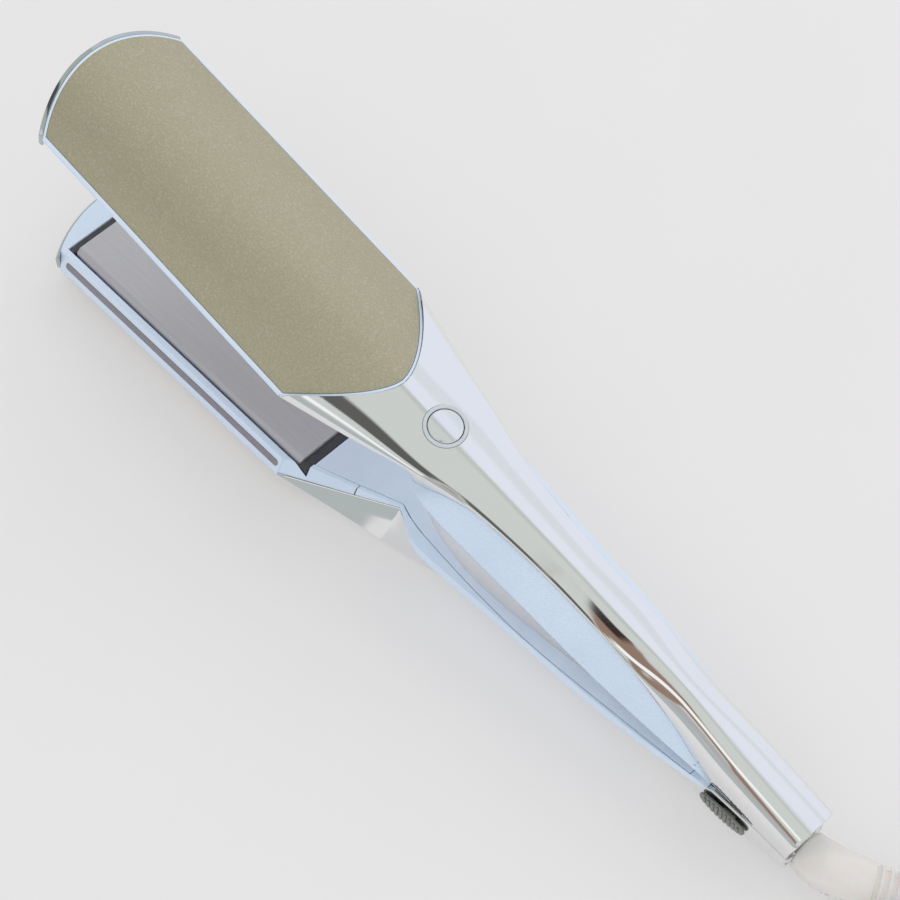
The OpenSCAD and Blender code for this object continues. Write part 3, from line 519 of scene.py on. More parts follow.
for amount, tone in (
    (both(wood, unless(wood_end)), wood_tone),
    (both(between(to_x, -0.5, -0.2, 0.04), between(to_y, 0.13, 0.3, 0.03)), (1.0, 1.0, 1.0)),
    (both(between(to_x, -0.262, -0.12, 0.02), step(to_y, 0.55, 0.08)), (0.46, 0.46, 0.47)),
    (both(ahead, between(to_y, 0.26, 0.58, 0.06)), (0.12, 0.12, 0.115)),
    (both(ahead, step(to_y, 0.58, 0.04)), (0.64, 0.68, 0.67)),
    (both(ahead, between(to_y, 0.76, 0.86, 0.03)), (1.0, 1.0, 1.0)),
    (both(unless(step(to_z, 0.42, 0.04)), step(to_y, 0.5, 0.1)), (0.47, 0.51, 0.51)),
):
    room_tone = mixed(amount, room_tone, tone)
plain_room = added_node(room, "ShaderNodeBackground", {
    "Color": (0.99, 0.99, 1.0, 1), "Strength": 0.87,
})
glossy_room = added_node(room, "ShaderNodeBackground", {"Color": room_tone})
shader_choice(
    room, added_node(room, "ShaderNodeLightPath", {}).outputs["Is Glossy Ray"],
    plain_room, glossy_room, added_node(room, "ShaderNodeOutputWorld", {}),
)

# Bright shells
# Each arm's outer shell is one moulding of chromed plastic, 1.2 mm thick. It is boxy at the
# rear, narrows to a band along the grip, and opens into two horns that hold the head.
REAR_W, BAND_W, GRIP_W, CROWN_H = 16.0, 15.0, 28.0, 15.0
LEAF_START, SKIN, HALF_SLIT, SEAT = 26.0, 1.2, 0.25, 0.2
HEAD_W, HEAD_RIM_W, EDGE_H, HEAD_LOW = 48.6, 43.0, 6.0, 1.0
HORN_X, NECK_X = HANDLE, HANDLE - 33
MID_X = LEAF_START + 0.57 * (NECK_X - LEAF_START)
HALF_REAR, HALF_BAND, HALF_GRIP, HALF_HEAD = REAR_W / 2, BAND_W / 2, GRIP_W / 2, HEAD_W / 2
WIDEST_LINE = [
    (0, (HALF_REAR - 0.2, 4)),
    (LEAF_START - 1, (HALF_REAR + 0.2, 4)),
    (LEAF_START + 17, (HALF_BAND - 0.1, 8.2)),
    (LEAF_START + 35, (HALF_BAND - 0.1, CROWN_H - 1.8)),
    (MID_X, (HALF_BAND + 0.2, CROWN_H - 1.4)),
    (NECK_X - 22, (HALF_BAND + 2.5, CROWN_H - 1.8)),
    (NECK_X - 6, (HALF_BAND + 6.4, CROWN_H - 3)),
    (NECK_X + 13, (HALF_BAND + 11.5, CROWN_H - 6.5)),
    (HORN_X, (HALF_HEAD, EDGE_H)),
]
EDGE_LINE = [
    (LEAF_START - 1, (HALF_REAR, HALF_SLIT + 0.2)),
    (LEAF_START + 7, (HALF_REAR - 0.2, 3.2)),
    (LEAF_START + 17, (HALF_BAND - 0.2, 7.6)),
    (LEAF_START + 35, (HALF_BAND - 0.2, CROWN_H - 2.3)),
    (MID_X, (HALF_BAND + 0.1, CROWN_H - 1.9)),
    (NECK_X - 26, (HALF_BAND + 1.7, CROWN_H - 2.2)),
    (NECK_X - 16, (HALF_BAND + 3.7, CROWN_H - 4.5)),
    (NECK_X - 10, (HALF_BAND + 4.7, CROWN_H - 8.5)),
    (NECK_X - 5.5, (HALF_BAND + 4.1, 1.2)),
]
HORN_EDGE = [
    (NECK_X - 5.5, (HALF_BAND + 4.1, 1.2)),
    (NECK_X, (HALF_BAND + 1.5, 1)),
    (HORN_X, (HALF_HEAD - 0.2, EDGE_H - 0.3)),
]
SPINE_LINE = [
    (0, REAR_H), (LEAF_START - 1, REAR_H + 1.7), (LEAF_START + 24, CROWN_H - 0.6),
    (LEAF_START + 44, CROWN_H), (MID_X, CROWN_H), (HORN_X, CROWN_H),
]
FULLNESS = [
    (0, 3.6), (LEAF_START - 1, 3.4), (LEAF_START + 19, 2.5), (LEAF_START + 35, 2), (HORN_X, 2),
]
PANEL_POINT, BEZEL_W, TRIM_T, TIP_BULGE = 18.5, 0.8, 1.2, 8.4
HALF_PANEL = 46.4 / 2
PANEL_REAR = HORN_X - 0.5 - PANEL_POINT
TIP_R = (HALF_HEAD**2 + TIP_BULGE**2) / (2 * TIP_BULGE)
TIP_C = BODY_LEN - TIP_R
PANEL_TIP_R = TIP_R - TRIM_T - BEZEL_W - 0.1
BUTTON_X, BUTTON_R, RING_R = HORN_X - 35.4, 4.7, 4.7 + 0.2 + 1.0


def straight(rows, x):
    at = [r[0] for r in rows]
    i = min(max(int(np.searchsorted(at, x, side="right")) - 1, 0), len(rows) - 2)
    s = (x - at[i]) / (at[i + 1] - at[i])
    return np.asarray(rows[i][1], float) * (1 - s) + np.asarray(rows[i + 1][1], float) * s


def shell_edge(x):
    if x < HINGE_X:
        return np.array((HALF_REAR - 0.3, HALF_SLIT + (HINGE_X - x) * math.tan(OPENING / 2)))
    if x < LEAF_START - 1:
        return np.array((HALF_REAR - 0.2, HALF_SLIT))
    return smooth(EDGE_LINE, x) if x < NECK_X - 5.5 else straight(HORN_EDGE, x)


def arch_curve(x, inset, steps):
    """Half of the arm's upper curve at x, from its lower edge to the spine."""
    edge, wide = shell_edge(x), smooth(WIDEST_LINE, x)
    base = wide[1] - 0.4 * min(1, wide[1] - edge[1]) * min(1, inset)
    top = smooth(SPINE_LINE, x) - inset
    power = 2 / float(straight(FULLNESS, x))
    curve = [(edge[0] - inset, edge[1])]
    curve.append(((edge[0] + wide[0]) / 2 - inset, (edge[1] + base) / 2))
    for k in range(steps + 1):
        a = math.pi / 2 * (1 - k / steps)
        curve.append((
            (wide[0] - inset) * abs(math.sin(a)) ** power,
            base + (top - base) * max(0.0, math.cos(a)) ** power,
        ))
    return curve


def mirrored(half):
    return half + [(-y, z) for y, z in half[-2::-1]]


def on_lower(points):
    """An arm's own millimetres to the frame, for the arm that lies on its back."""
    p = np.asarray(points, float)
    return np.stack([p[:, 0] - CENTER_X, p[:, 1], CROWN_H - p[:, 2]], 1) * MM


def on_upper(points):
    """The same for the arm that stands open on the hinge."""
    p = np.asarray(points, float)
    c, s = math.cos(OPENING), math.sin(OPENING)
    x, z = p[:, 0] - HINGE_X, p[:, 2]
    return np.stack(
        [x * c - z * s + HINGE_X - CENTER_X, p[:, 1], x * s + z * c + CROWN_H], 1
    ) * MM


ARMS = (("lower", on_lower), ("upper", on_upper))


def lofted(name, xs, rings, placed, arch, material):
    """Closed mesh through rings of (y, z) points at each x. An arch's ends are strips."""
    n, last = len(rings[0]), len(rings) - 1
    points = placed([(x, y, z) for x, ring in zip(xs, rings) for y, z in ring])
    faces = tube_faces(len(rings), n)
    if arch:
        faces[-2:] = [
            (start + k, start + k + 1, start + n - 2 - k, start + n - 1 - k)
            for start in (0, last * n) for k in range(n // 2 - 1)
        ]
    piece = new_piece(name, points, faces, material)
    outwards(piece)
    return piece


def frozen(piece):
    """Makes the result of a piece's modifiers its own mesh."""
    graph = bpy.context.evaluated_depsgraph_get()
    mesh = bpy.data.meshes.new_from_object(piece.evaluated_get(graph))
    piece.modifiers.clear()
    unused, piece.data = piece.data, mesh
    mesh.name = piece.name
    bpy.data.meshes.remove(unused)


def carved(piece, cutters):
    """Cuts the cutters out of a piece."""
    for cutter in cutters:
        cut = piece.modifiers.new("cut", "BOOLEAN")
        cut.operation, cut.solver, cut.object = "DIFFERENCE", "MANIFOLD", cutter
    frozen(piece)
    for cutter in cutters:
        bpy.data.objects.remove(cutter)


def prism(outline, low, high, placed):
    """Upright cutter on an outline of (x, y) points in an arm's own millimetres."""
    points = placed([(x, y, z) for z in (low, high) for x, y in outline])
    piece = new_piece("cutter", points, tube_faces(2, len(outline)))
    outwards(piece)
    return piece


def box_cutter(low_corner, high_corner, placed):
    (x0, y0, z0), (x1, y1, z1) = low_corner, high_corner
    return prism([(x0, y0), (x1, y0), (x1, y1), (x0, y1)], z0, z1, placed)


def panel_outline(grow):
    """Outline of the head's panel: pointed rear, straight sides and round tip."""
    outline = []
    for y in np.linspace(HALF_PANEL, -HALF_PANEL, 81):
        slope = 1.63 * PANEL_POINT / HALF_PANEL * (abs(y) / HALF_PANEL) ** 0.63
        n = math.hypot(1, slope)
        x = PANEL_REAR + PANEL_POINT * (abs(y) / HALF_PANEL) ** 1.63
        outline.append((x - grow / n, y + math.copysign(min(grow * slope / n, grow), y)))
    radius, half = PANEL_TIP_R + grow, HALF_PANEL + grow
    for a in np.linspace(-math.asin(half / radius), math.asin(half / radius), 61):
        outline.append((TIP_C + radius * math.cos(a), radius * math.sin(a)))
    return outline


def round_hole(radius, placed, steps=96):
    """Cutter for the power button's place."""
    turns = [2 * math.pi * i / steps for i in range(steps)]
    outline = [(BUTTON_X + radius * math.cos(a), radius * math.sin(a)) for a in turns]
    return prism(outline, 5, 30, placed)


def lip(edge_point, side_point):
    """Five points that round the shell's lower outer corner."""
    corner, up = np.array(edge_point), np.array(side_point) - np.array(edge_point)
    up = up / np.linalg.norm(up)
    inward = np.array((-1.0, 0.0))
    return [
        tuple(corner + 0.5 * inward), tuple(corner + 0.3 * inward + 0.03 * up),
        tuple(corner + 0.14 * (inward + up)), tuple(corner + 0.03 * inward + 0.3 * up),
        tuple(corner + 0.5 * up),
    ]


chrome = surface(
    "bright_chrome", (0.86, 0.87, 0.87), (0.88, 0.885, 0.885), 30, (0.035, 0.075),
    Metallic=1.0,
)
shell_xs = [0.0, 0.12, 0.4] + list(np.arange(1.2, HORN_X - 0.9, 0.9)) + [HORN_X - 0.4]
SHELL_STEPS = 26
for arm, placed in ARMS:
    rings = []
    for x in shell_xs:
        inset = 0.3 if x == 0 else 0.1 if x < 0.2 else 0
        outer = arch_curve(x, inset, SHELL_STEPS)
        outer = lip(outer[0], outer[1]) + outer[1:]
        inner = arch_curve(x, SKIN, SHELL_STEPS)
        foot, shoulder = np.array(inner[0]), np.array(inner[1])
        inner = [tuple(foot + (shoulder - foot) * k / 5) for k in range(5)] + inner[1:]
        rings.append(mirrored(outer) + mirrored(inner)[::-1])
    shell = lofted(f"{arm}_bright_shell", shell_xs, rings, placed, True, chrome)
    cutters = [prism(panel_outline(BEZEL_W + 0.15), EDGE_H - 0.8, 30, placed)]
    if arm == "upper":
        cutters.append(round_hole(RING_R + 0.1, placed))
    else:
        cutters.append(box_cutter(
            (LEAF_START - 10.3, HALF_REAR - 1.5, 2.3), (LEAF_START - 3.3, HALF_REAR + 1.5, 5.9),
            placed,
        ))
    carved(shell, cutters)
    shaded(shell, 38)
    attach(shell, f"{arm}_arm")
    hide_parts(f"{arm}_chrome_shell")

# Flanks and frames
# Each arm's core is a moulding of pale blue plastic under the bright shell. Its flanks, which
# show between the shell and the lid, have fine lengthwise grooves from end to end.
WALL, LID_T, LID_LEDGE, INNER_Z = 1.4, 1.6, 1.0, HALF_SLIT + 0.15
RIM_LINE = [
    (LEAF_START, (HALF_REAR + 0.5, 0.7)),
    (LEAF_START + 4, (HALF_REAR + 1, 1.5)),
    (LEAF_START + 19, (HALF_GRIP - 3.2, 2.4)),
    (LEAF_START + 40, (HALF_GRIP - 1.5, 2.6)),
    (MID_X, (HALF_GRIP - 0.6, 2.6)),
    (NECK_X - 21, (HALF_GRIP + 0.5, 2.6)),
    (NECK_X - 12, (HALF_GRIP + 0.4, 2.5)),
    (NECK_X - 8, (HALF_GRIP - 0.6, 1.8)),
    (NECK_X - 5.5, (HALF_BAND + 4.4, 0.9)),
]
SEAM_LINE = [
    (LEAF_START + 2.5, HALF_REAR), (LEAF_START + 19, HALF_GRIP - 4.6),
    (MID_X - 6, HALF_GRIP - 1.9), (NECK_X - 33, HALF_GRIP - 2.2), (NECK_X - 10, HALF_GRIP - 4),
    (NECK_X - 4, HALF_BAND + 1.4), (NECK_X, HALF_BAND + 0.05),
]
RECESS_LINE = [
    (0, 1), (0.12, 4.6), (0.4, 7.8), (0.68, 9.6), (0.85, 7.6), (0.95, 3.6), (1, 0.8),
]
RECESS_REAR, RECESS_TIP = LEAF_START + 8, NECK_X + 1
RECESS_FLOOR = INNER_Z + 2.6
TRAY_TOP = RECESS_FLOOR + 1.2
PLATE_FRONT = TIP_C + math.sqrt(TIP_R**2 - HALF_HEAD**2) - 3.1
PLATE_REAR = PLATE_FRONT - 96
HALF_RIM = HEAD_RIM_W / 2
LID_REAR, LID_FRONT = LEAF_START + 5.5, PLATE_REAR - 3.6
SLANT = math.atan2(HALF_HEAD - HALF_RIM, EDGE_H - HEAD_LOW)
GROOVES, GROOVE_DEPTH, GROOVE_STEPS = 18, 0.2, 6
LOCK_X, LOCK_LEN, LOCK_TRAVEL = LEAF_START + 1 - 15, 15, 2.4


def rim(x):
    return smooth(RIM_LINE, x) if x < NECK_X - 5.5 else shell_edge(x) - np.array((0.2, 0.35))


def flank(x):
    """Half of a flank from its foot past the rim to the shell, with its grooves."""
    r, f = rim(x), shell_edge(x) - np.array((0.05, SEAT))
    foot = 0.7 if x < NECK_X - 5.5 else (r[1] - INNER_Z) * math.tan(SLANT)
    height = f[1] - r[1]
    depth = min(GROOVE_DEPTH, 0.4 * max(0, height) / GROOVES)
    curve = [(r[0] - foot, INNER_Z), (r[0] - 0.35 * foot, INNER_Z + 0.5 * (r[1] - INNER_Z))]
    for k in range(GROOVES * GROOVE_STEPS + 1):
        s = k / (GROOVES * GROOVE_STEPS)
        groove = depth * (0.5 - 0.5 * math.cos(2 * math.pi * k / GROOVE_STEPS))
        bulge = 0.2 * s * (1 - s) * height
        curve.append((r[0] + s * (f[0] - r[0]) + bulge - groove, r[1] + s * height))
    return curve


def core_curve(x):
    """Half of the core's outside: the flank, then the curve under the bright shell."""
    side, under = flank(x), arch_curve(x, SKIN + SEAT, 18)
    under = [(under[0][0], side[-1][1]), (under[1][0], under[1][1] - SEAT)] + under[2:]
    return side + under


def outside_half(x, z):
    r, e, w = rim(x), shell_edge(x), smooth(WIDEST_LINE, x)
    if z < e[1]:
        return r[0] + (e[0] - r[0]) * max(0, z - r[1]) / (e[1] - r[1])
    return e[0] + (w[0] - e[0]) * min(1, (z - e[1]) / (w[1] - e[1]))


def cavity_curve(x):
    """Half of the hollow inside the core, from the lid's opening up to its roof."""
    roof = smooth(SPINE_LINE, x) - SKIN - SEAT - WALL
    high = min(9, roof - 1.8)

    def wall(z):
        return outside_half(x, z) - WALL - (SKIN + SEAT if z > shell_edge(x)[1] - 1 else 0)

    low = (smooth(SEAM_LINE, x) if x < NECK_X else HALF_BAND) - LID_LEDGE
    side = min(smooth(WIDEST_LINE, x)[0] - SKIN - SEAT - WALL, wall(high)) - 0.4
    return [
        (low, -1), (low, INNER_Z + LID_T + 0.9), (wall(5.4), 5.4), (wall(high), high),
        (side, roof - 1.2), (side * 0.65, roof - 0.3), (0, roof),
    ]


def leaf_outline(xs, half_width, grow, front=0.0):
    """Closed outline that is symmetric about the arm's middle line."""
    half = [(x, half_width(x) + grow) for x in xs]
    half[0] = (half[0][0] - grow, half[0][1])
    half[-1] = (half[-1][0] + grow + front, half[-1][1])
    return half + [(x, -y) for x, y in half[::-1]]


def lid_half(x):
    if x <= NECK_X:
        return float(smooth(SEAM_LINE, x))
    return float(straight([
        (NECK_X, HALF_BAND + 0.05), (NECK_X + 17.6, HALF_RIM - 7.5), (LID_FRONT, HALF_RIM - 4.8),
    ], x))


LID_XS = list(np.linspace(LID_REAR, NECK_X, 61)) + [NECK_X + 17.6, LID_FRONT]
RECESS_XS = list(np.linspace(RECESS_REAR, RECESS_TIP, 49))


def recess_half(x):
    return float(smooth(RECESS_LINE, (x - RECESS_REAR) / (RECESS_TIP - RECESS_REAR)))


pale_plastic = surface(
    "pale_blue_plastic", linear(209, 225, 243), linear(214, 229, 246), 14, (0.22, 0.3),
    0.004, 0.25, Coat_Weight=0.25, Coat_Roughness=0.12, IOR=1.5,
)
core_xs = list(np.arange(LEAF_START + 0.1, NECK_X + 12, 1.0)) + [NECK_X + 12]
cavity_xs = list(np.linspace(LEAF_START + 16, NECK_X + 13, 32))
for arm, placed in ARMS:
    core = lofted(
        f"{arm}_flanks", core_xs, [mirrored(core_curve(x)) for x in core_xs], placed, False,
        pale_plastic,
    )
    hollow = lofted(
        "cutter", cavity_xs, [mirrored(cavity_curve(x)) for x in cavity_xs], placed, False, None
    )
    lid_hole = leaf_outline(LID_XS, lid_half, SEAT, SEAT)
    recess_hole = leaf_outline(RECESS_XS, recess_half, 1.2 + SEAT)
    cutters = [
        hollow, prism(lid_hole, INNER_Z - 0.5, INNER_Z + LID_T + SEAT, placed),
        prism(recess_hole, -1, TRAY_TOP + 0.3, placed),
    ]
    if arm == "upper":
        cutters.append(round_hole(BUTTON_R + 0.2, placed))
    else:
        cutters.append(box_cutter((2, -1.7, 4.9), (LEAF_START + 20, 1.7, 7.1), placed))
        cutters.append(box_cutter(
            (LEAF_START - 1, HALF_REAR + 0.2, 1.3),
            (LEAF_START + LOCK_TRAVEL + 1.3, HALF_REAR + 3.2, 7.5), placed,
        ))
    carved(core, cutters)
    shaded(core, 40)
    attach(core, f"{arm}_arm")
    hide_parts(f"{arm}_frame")

# Head housings, lids and pads
# The wide heads are boxes of the same pale plastic that carry the plates. A flat lid closes
# each grip's inner face, with a long recess in it, and a soft pad lies along each head's side.
rubber_grey = surface(
    "side_pad_rubber", linear(133, 130, 136), linear(143, 140, 145), 1.2, (0.55, 0.68), 0.015,
)
for arm in ("lower", "upper"):
    softened(f"{arm}_head_housing", f"{arm}_head", 0.15, 2, 40, pale_plastic)
    softened(f"{arm}_side_pads", f"{arm}_side_strips", 0.15, 2, 40, rubber_grey)


def over_base(material, amount, colour):
    """Lays one more colour over a material's tones by an amount from 0 to 1."""
    tree = material.node_tree
    base = tree.nodes["Principled BSDF"].inputs["Base Color"]
    tone = added_node(tree, "ShaderNodeMix", {
        "Factor": amount, 6: base.links[0].from_socket, 7: (*colour, 1),
    }, data_type="RGBA")
    tree.links.new(tone.outputs[2], base)


lid_plastic = surface(
    "lid_plastic", linear(208, 221, 238), linear(213, 226, 241), 8, (0.2, 0.3), 0.004, 0.25,
    Coat_Weight=0.25, Coat_Roughness=0.15,
)
inlay_mask = added_node(
    lid_plastic.node_tree, "ShaderNodeAttribute", {}, attribute_name="inlay"
)
over_base(lid_plastic, inlay_mask.outputs["Fac"], linear(228, 228, 229))
for arm, placed in ARMS:
    lid = softened(f"{arm}_inner_cover", f"{arm}_lid", 0.25, 3, 40, lid_plastic)
    inlay = lid.data.attributes.new("inlay", "FLOAT", "FACE")
    recess, above = (Vector(p) for p in placed([(100, 0, RECESS_FLOOR), (100, 0, CROWN_H)]))
    upright = (above - recess).normalized()
    for face in lid.data.polygons:
        on_floor = abs((face.center - recess).dot(upright)) < 0.1 * MM
        level = abs(face.normal.dot(upright)) > 0.99
        inlay.data[face.index].value = float(on_floor and level)

# Gold panels and tip trims
# A thin curved panel with a fine metallic speckle fills each head's outer face. A bright strip
# closes the head at its round tip.
FLAKE = 0.42
gold = surface(
    "speckled_gold", linear(166, 160, 134), linear(181, 175, 149), 0.4, (0.42, 0.52), 0.012, 0.4,
    Metallic=0.4,
)
gold_tree = gold.node_tree
flakes = added_node(gold_tree, "ShaderNodeTexVoronoi", {
    "Scale": 1 / (FLAKE * MM),
    "Vector": added_node(gold_tree, "ShaderNodeTexCoord", {}).outputs["Object"],
})
grey = added_node(gold_tree, "ShaderNodeSeparateColor", {0: flakes.outputs["Color"]})
pick = added_node(gold_tree, "ShaderNodeMapRange", {
    "Value": grey.outputs[0], "From Min": 0.72, "From Max": 0.95, "To Max": 0.4,
})
over_base(gold, pick.outputs["Result"], linear(198, 192, 170))
mirror_trim = surface(
    "tip_mirror", (0.50, 0.54, 0.53), (0.56, 0.59, 0.58), 12, (0.06, 0.12), Metallic=1.0,
)
for arm in ("lower", "upper"):
    softened(f"{arm}_gold_panel", f"{arm}_panel", 0.12, 2, 40, gold)
    softened(f"{arm}_tip_trim", f"{arm}_tip_strip", 0.2, 3, 40, mirror_trim)

# Heated plates
# Flat plates of coated aluminium with bevelled long sides float on soft cushions, each with
# its heater behind it.


def brushed(name, dark, pale, rough, metallic):
    """Metal or coating with fine lines along the arm."""
    material = surface(name, dark, pale, 0.5, rough, 0.004, 0.5, Metallic=metallic)
    tree = material.node_tree
    place = next(n for n in tree.nodes if n.type == "TEX_COORD").outputs["Object"]
    stretch = added_node(tree, "ShaderNodeMapping", {"Vector": place, "Scale": (0.02, 1, 1)})
    for texture in [n for n in tree.nodes if n.type == "TEX_NOISE"]:
        tree.links.new(stretch.outputs["Vector"], texture.inputs["Vector"])
    return material


plate_coat = brushed(
    "plate_coating", linear(184, 183, 187), linear(192, 191, 194), (0.34, 0.44), 0.25,
)
ceramic = surface(
    "heater_ceramic", linear(226, 225, 219), linear(236, 235, 230), 1.5, (0.6, 0.75), 0.02, 0.4,
)
dark_rubber = surface(
    "cushion_rubber", linear(62, 63, 67), linear(74, 75, 78), 2, (0.6, 0.75), 0.03, 0.5,
)
for arm in ("lower", "upper"):
    softened(f"{arm}_plate", f"{arm}_heated_plate", 0.5, 4, 30, plate_coat)
    softened(f"{arm}_heater", f"{arm}_heater_block", 0.3, 2, 40, ceramic)

# Rear end
# Bright caps close the two arms behind the hinge. A collar for the cord turns in the lower
# cap, and a ribbed slider on the left side locks the closed arms.
chrome_cap = surface(
    "cap_chrome", (0.80, 0.82, 0.81), (0.84, 0.85, 0.84), 10, (0.06, 0.12), Metallic=1.0,
)
collar_plastic = surface(
    "collar_plastic", linear(224, 221, 212), linear(232, 229, 221), 5, (0.35, 0.45), 0.006, 0.3,
)
for arm in ("lower", "upper"):
    softened(f"{arm}_end_cap", f"{arm}_cap", 0.2, 3, 40, chrome_cap)
softened("cord_swivel", "swivel_collar", 0.2, 3, 40, collar_plastic)
slider_metal = surface(
    "slider_paint", linear(128, 130, 126), linear(140, 142, 137), 2, (0.28, 0.4), 0.008, 0.25,
    Metallic=0.6,
)
SLIDER_Y, SLIDER_MID = HALF_REAR + 0.55, LOCK_X + LOCK_LEN / 2
SLIDER_LOW, SLIDER_HIGH = 1.6, 7.2


def slab(name, outline, y0, y1, placed, width):
    """Rounded slab on an outline of (x, z) points, from y0 to y1."""
    points = placed([(x, y, z) for y in (y0, y1) for x, z in outline])
    piece = new_piece(name, points, tube_faces(2, len(outline)))
    outwards(piece)
    mesh = bmesh.new()
    mesh.from_mesh(piece.data)
    round_edges(mesh, width, 3, 40)
    mesh.to_mesh(piece.data)
    mesh.free()
    return piece


def row_of_copies(base, single, spot, count, pitch, taper, material):
    """Base mesh with copies of a single piece in a row, lower towards the row's ends."""
    tree = bpy.data.node_groups.new("row_of_copies", "GeometryNodeTree")
    for label, kind in (
        ("Geometry", "Geometry"), ("Single", "Object"), ("Place", "Vector"), ("Count", "Int"),
        ("Pitch", "Vector"), ("Taper", "Float"), ("Material", "Material"),
    ):
        tree.interface.new_socket(label, in_out="INPUT", socket_type="NodeSocket" + kind)
    tree.interface.new_socket("Geometry", in_out="OUTPUT", socket_type="NodeSocketGeometry")
    given = added_node(tree, "NodeGroupInput", {}).outputs
    line = added_node(tree, "GeometryNodeMeshLine", {
        "Count": given["Count"], "Offset": given["Pitch"],
    }, mode="OFFSET")
    last = calculate(tree, "SUBTRACT", given["Count"], 1)
    half = added_node(tree, "ShaderNodeVectorMath", {
        0: given["Pitch"], "Scale": calculate(tree, "MULTIPLY", last, -0.5),
    }, operation="SCALE")
    middle = added_node(tree, "GeometryNodeSetPosition", {
        "Geometry": line.outputs["Mesh"], "Offset": half.outputs[0],
    })
    index = added_node(tree, "GeometryNodeInputIndex", {}).outputs[0]
    off_middle = calculate(tree, "SUBTRACT", index, calculate(tree, "MULTIPLY", last, 0.5))
    half_count = calculate(tree, "MULTIPLY", given["Count"], 0.5)
    share = calculate(tree, "DIVIDE", off_middle, half_count)
    squared = calculate(tree, "MULTIPLY", share, share)
    height = calculate(tree, "SUBTRACT", 1, calculate(tree, "MULTIPLY", squared, given["Taper"]))
    size = added_node(tree, "ShaderNodeCombineXYZ", {0: 1, 1: 1, 2: height})
    info = added_node(tree, "GeometryNodeObjectInfo", {"Object": given["Single"]})
    copies = added_node(tree, "GeometryNodeInstanceOnPoints", {
        "Points": middle.outputs["Geometry"], "Instance": info.outputs["Geometry"],
        "Scale": size.outputs[0],
    })
    place = added_node(tree, "GeometryNodeTransform", {
        "Geometry": copies.outputs["Instances"], "Translation": given["Place"],
    })
    together = added_node(tree, "GeometryNodeJoinGeometry", {0: given["Geometry"]})
    tree.links.new(place.outputs[0], together.inputs[0])
    real = added_node(tree, "GeometryNodeRealizeInstances", {0: together.outputs[0]})
    paint = added_node(tree, "GeometryNodeSetMaterial", {
        "Geometry": real.outputs[0], "Material": given["Material"],
    })
    added_node(tree, "NodeGroupOutput", {0: paint.outputs[0]})
    live = base.modifiers.new("row", "NODES")
    live.node_group = tree
    values = {
        "Single": single, "Place": tuple(spot), "Count": count, "Pitch": pitch, "Taper": taper,
        "Material": material,
    }
    for item in tree.interface.items_tree:
        if item.name in values:
            live[item.identifier] = values[item.name]
    frozen(base)
    bpy.data.objects.remove(single)


def plain(points):
    return np.asarray(points, float) * MM


def joined(piece, others):
    """One mesh of a piece and the others, which are then gone."""
    mesh = bmesh.new()
    mesh.from_mesh(piece.data)
    for other in others:
        mesh.from_mesh(other.data)
        bpy.data.objects.remove(other)
    mesh.to_mesh(piece.data)
    mesh.free()


lens = []
for i in range(48):
    a = 2 * math.pi * i / 48
    lens.append((
        SLIDER_MID + LOCK_LEN / 2 * math.copysign(abs(math.cos(a)) ** 0.8, math.cos(a)),
        (SLIDER_LOW + SLIDER_HIGH) / 2
        + (SLIDER_HIGH - SLIDER_LOW) / 2 * math.copysign(abs(math.sin(a)) ** 0.8, math.sin(a)),
    ))
slider = slab("lock_catch", lens, SLIDER_Y, SLIDER_Y + 0.75, on_lower, 0.2)
foot = [(LOCK_X + 4, 2.6), (LOCK_X + 8, 2.6), (LOCK_X + 8, 5.6), (LOCK_X + 4, 5.6)]
joined(slider, [slab("foot", foot, HALF_REAR - 1.3, HALF_REAR + 0.6, on_lower, 0.15)])
rib_outline = [(-0.35, -2.35), (0.35, -2.35), (0.35, 2.35), (-0.35, 2.35)]
row_of_copies(
    slider, slab("rib", rib_outline, -0.1, 0.35, plain, 0.12),
    on_lower([(SLIDER_MID, SLIDER_Y + 0.75, (SLIDER_LOW + SLIDER_HIGH) / 2)])[0],
    9, (1.4 * MM, 0, 0), 0.62, slider_metal,
)
shaded(slider, 35)
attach(slider, "lock")
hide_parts("lock_slider")

# Hinge
# Two blocks of grey plastic are screwed into the arms and turn on one steel pin. A wound
# spring round the pin opens the arms.
block_plastic = surface(
    "hinge_plastic", linear(168, 172, 178), linear(178, 182, 188), 5, (0.45, 0.55), 0.01, 0.25,
)
steel = brushed("bright_steel", (0.50, 0.51, 0.52), (0.58, 0.59, 0.60), (0.2, 0.32), 1.0)
SCREW_X = LEAF_START - 6


def turned(name, profile, steps, placed):
    """Closed solid of revolution about z through (radius, height) rows."""
    points = placed([
        (r * math.cos(2 * math.pi * k / steps), r * math.sin(2 * math.pi * k / steps), z)
        for r, z in profile for k in range(steps)
    ])
    piece = new_piece(name, points, tube_faces(len(profile), steps))
    outwards(piece)
    return piece


for arm, placed in ARMS:
    softened(f"{arm}_hinge_block", f"{arm}_hinge_piece", 0.2, 2, 40, block_plastic)
    anchor = (SCREW_X, 0, INNER_Z + 0.3)

    def from_anchor(points, placed=placed, anchor=anchor):
        return placed(np.asarray(points, float) + anchor) - placed([anchor])

    head = [(1.0, 0.12), (1.6, 0), (1.9, 0.3), (1.9, 1.2), (1.0, 1.2)]
    thread = [
        (1.0 if k % 2 else 0.8, 1.2 + 0.24 * k) for k in range(1, 20)
    ] + [(0.4, 6.0)]
    screw = turned("screw", [(0.2, 0)] + head + thread, 24, from_anchor)
    carved(screw, [
        box_cutter((-1.2, -0.22, -1), (1.2, 0.22, 0.75), from_anchor),
        box_cutter((-0.22, -1.2, -1), (0.22, 1.2, 0.75), from_anchor),
    ])
    screws = new_piece(f"{arm}_screws", [], [])
    row_of_copies(screws, screw, placed([anchor])[0], 2, (0, 7.2 * MM, 0), 0, steel)
    shaded(screws, 40)
    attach(screws, f"{arm}_arm")
    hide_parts(f"{arm}_hinge_screws")
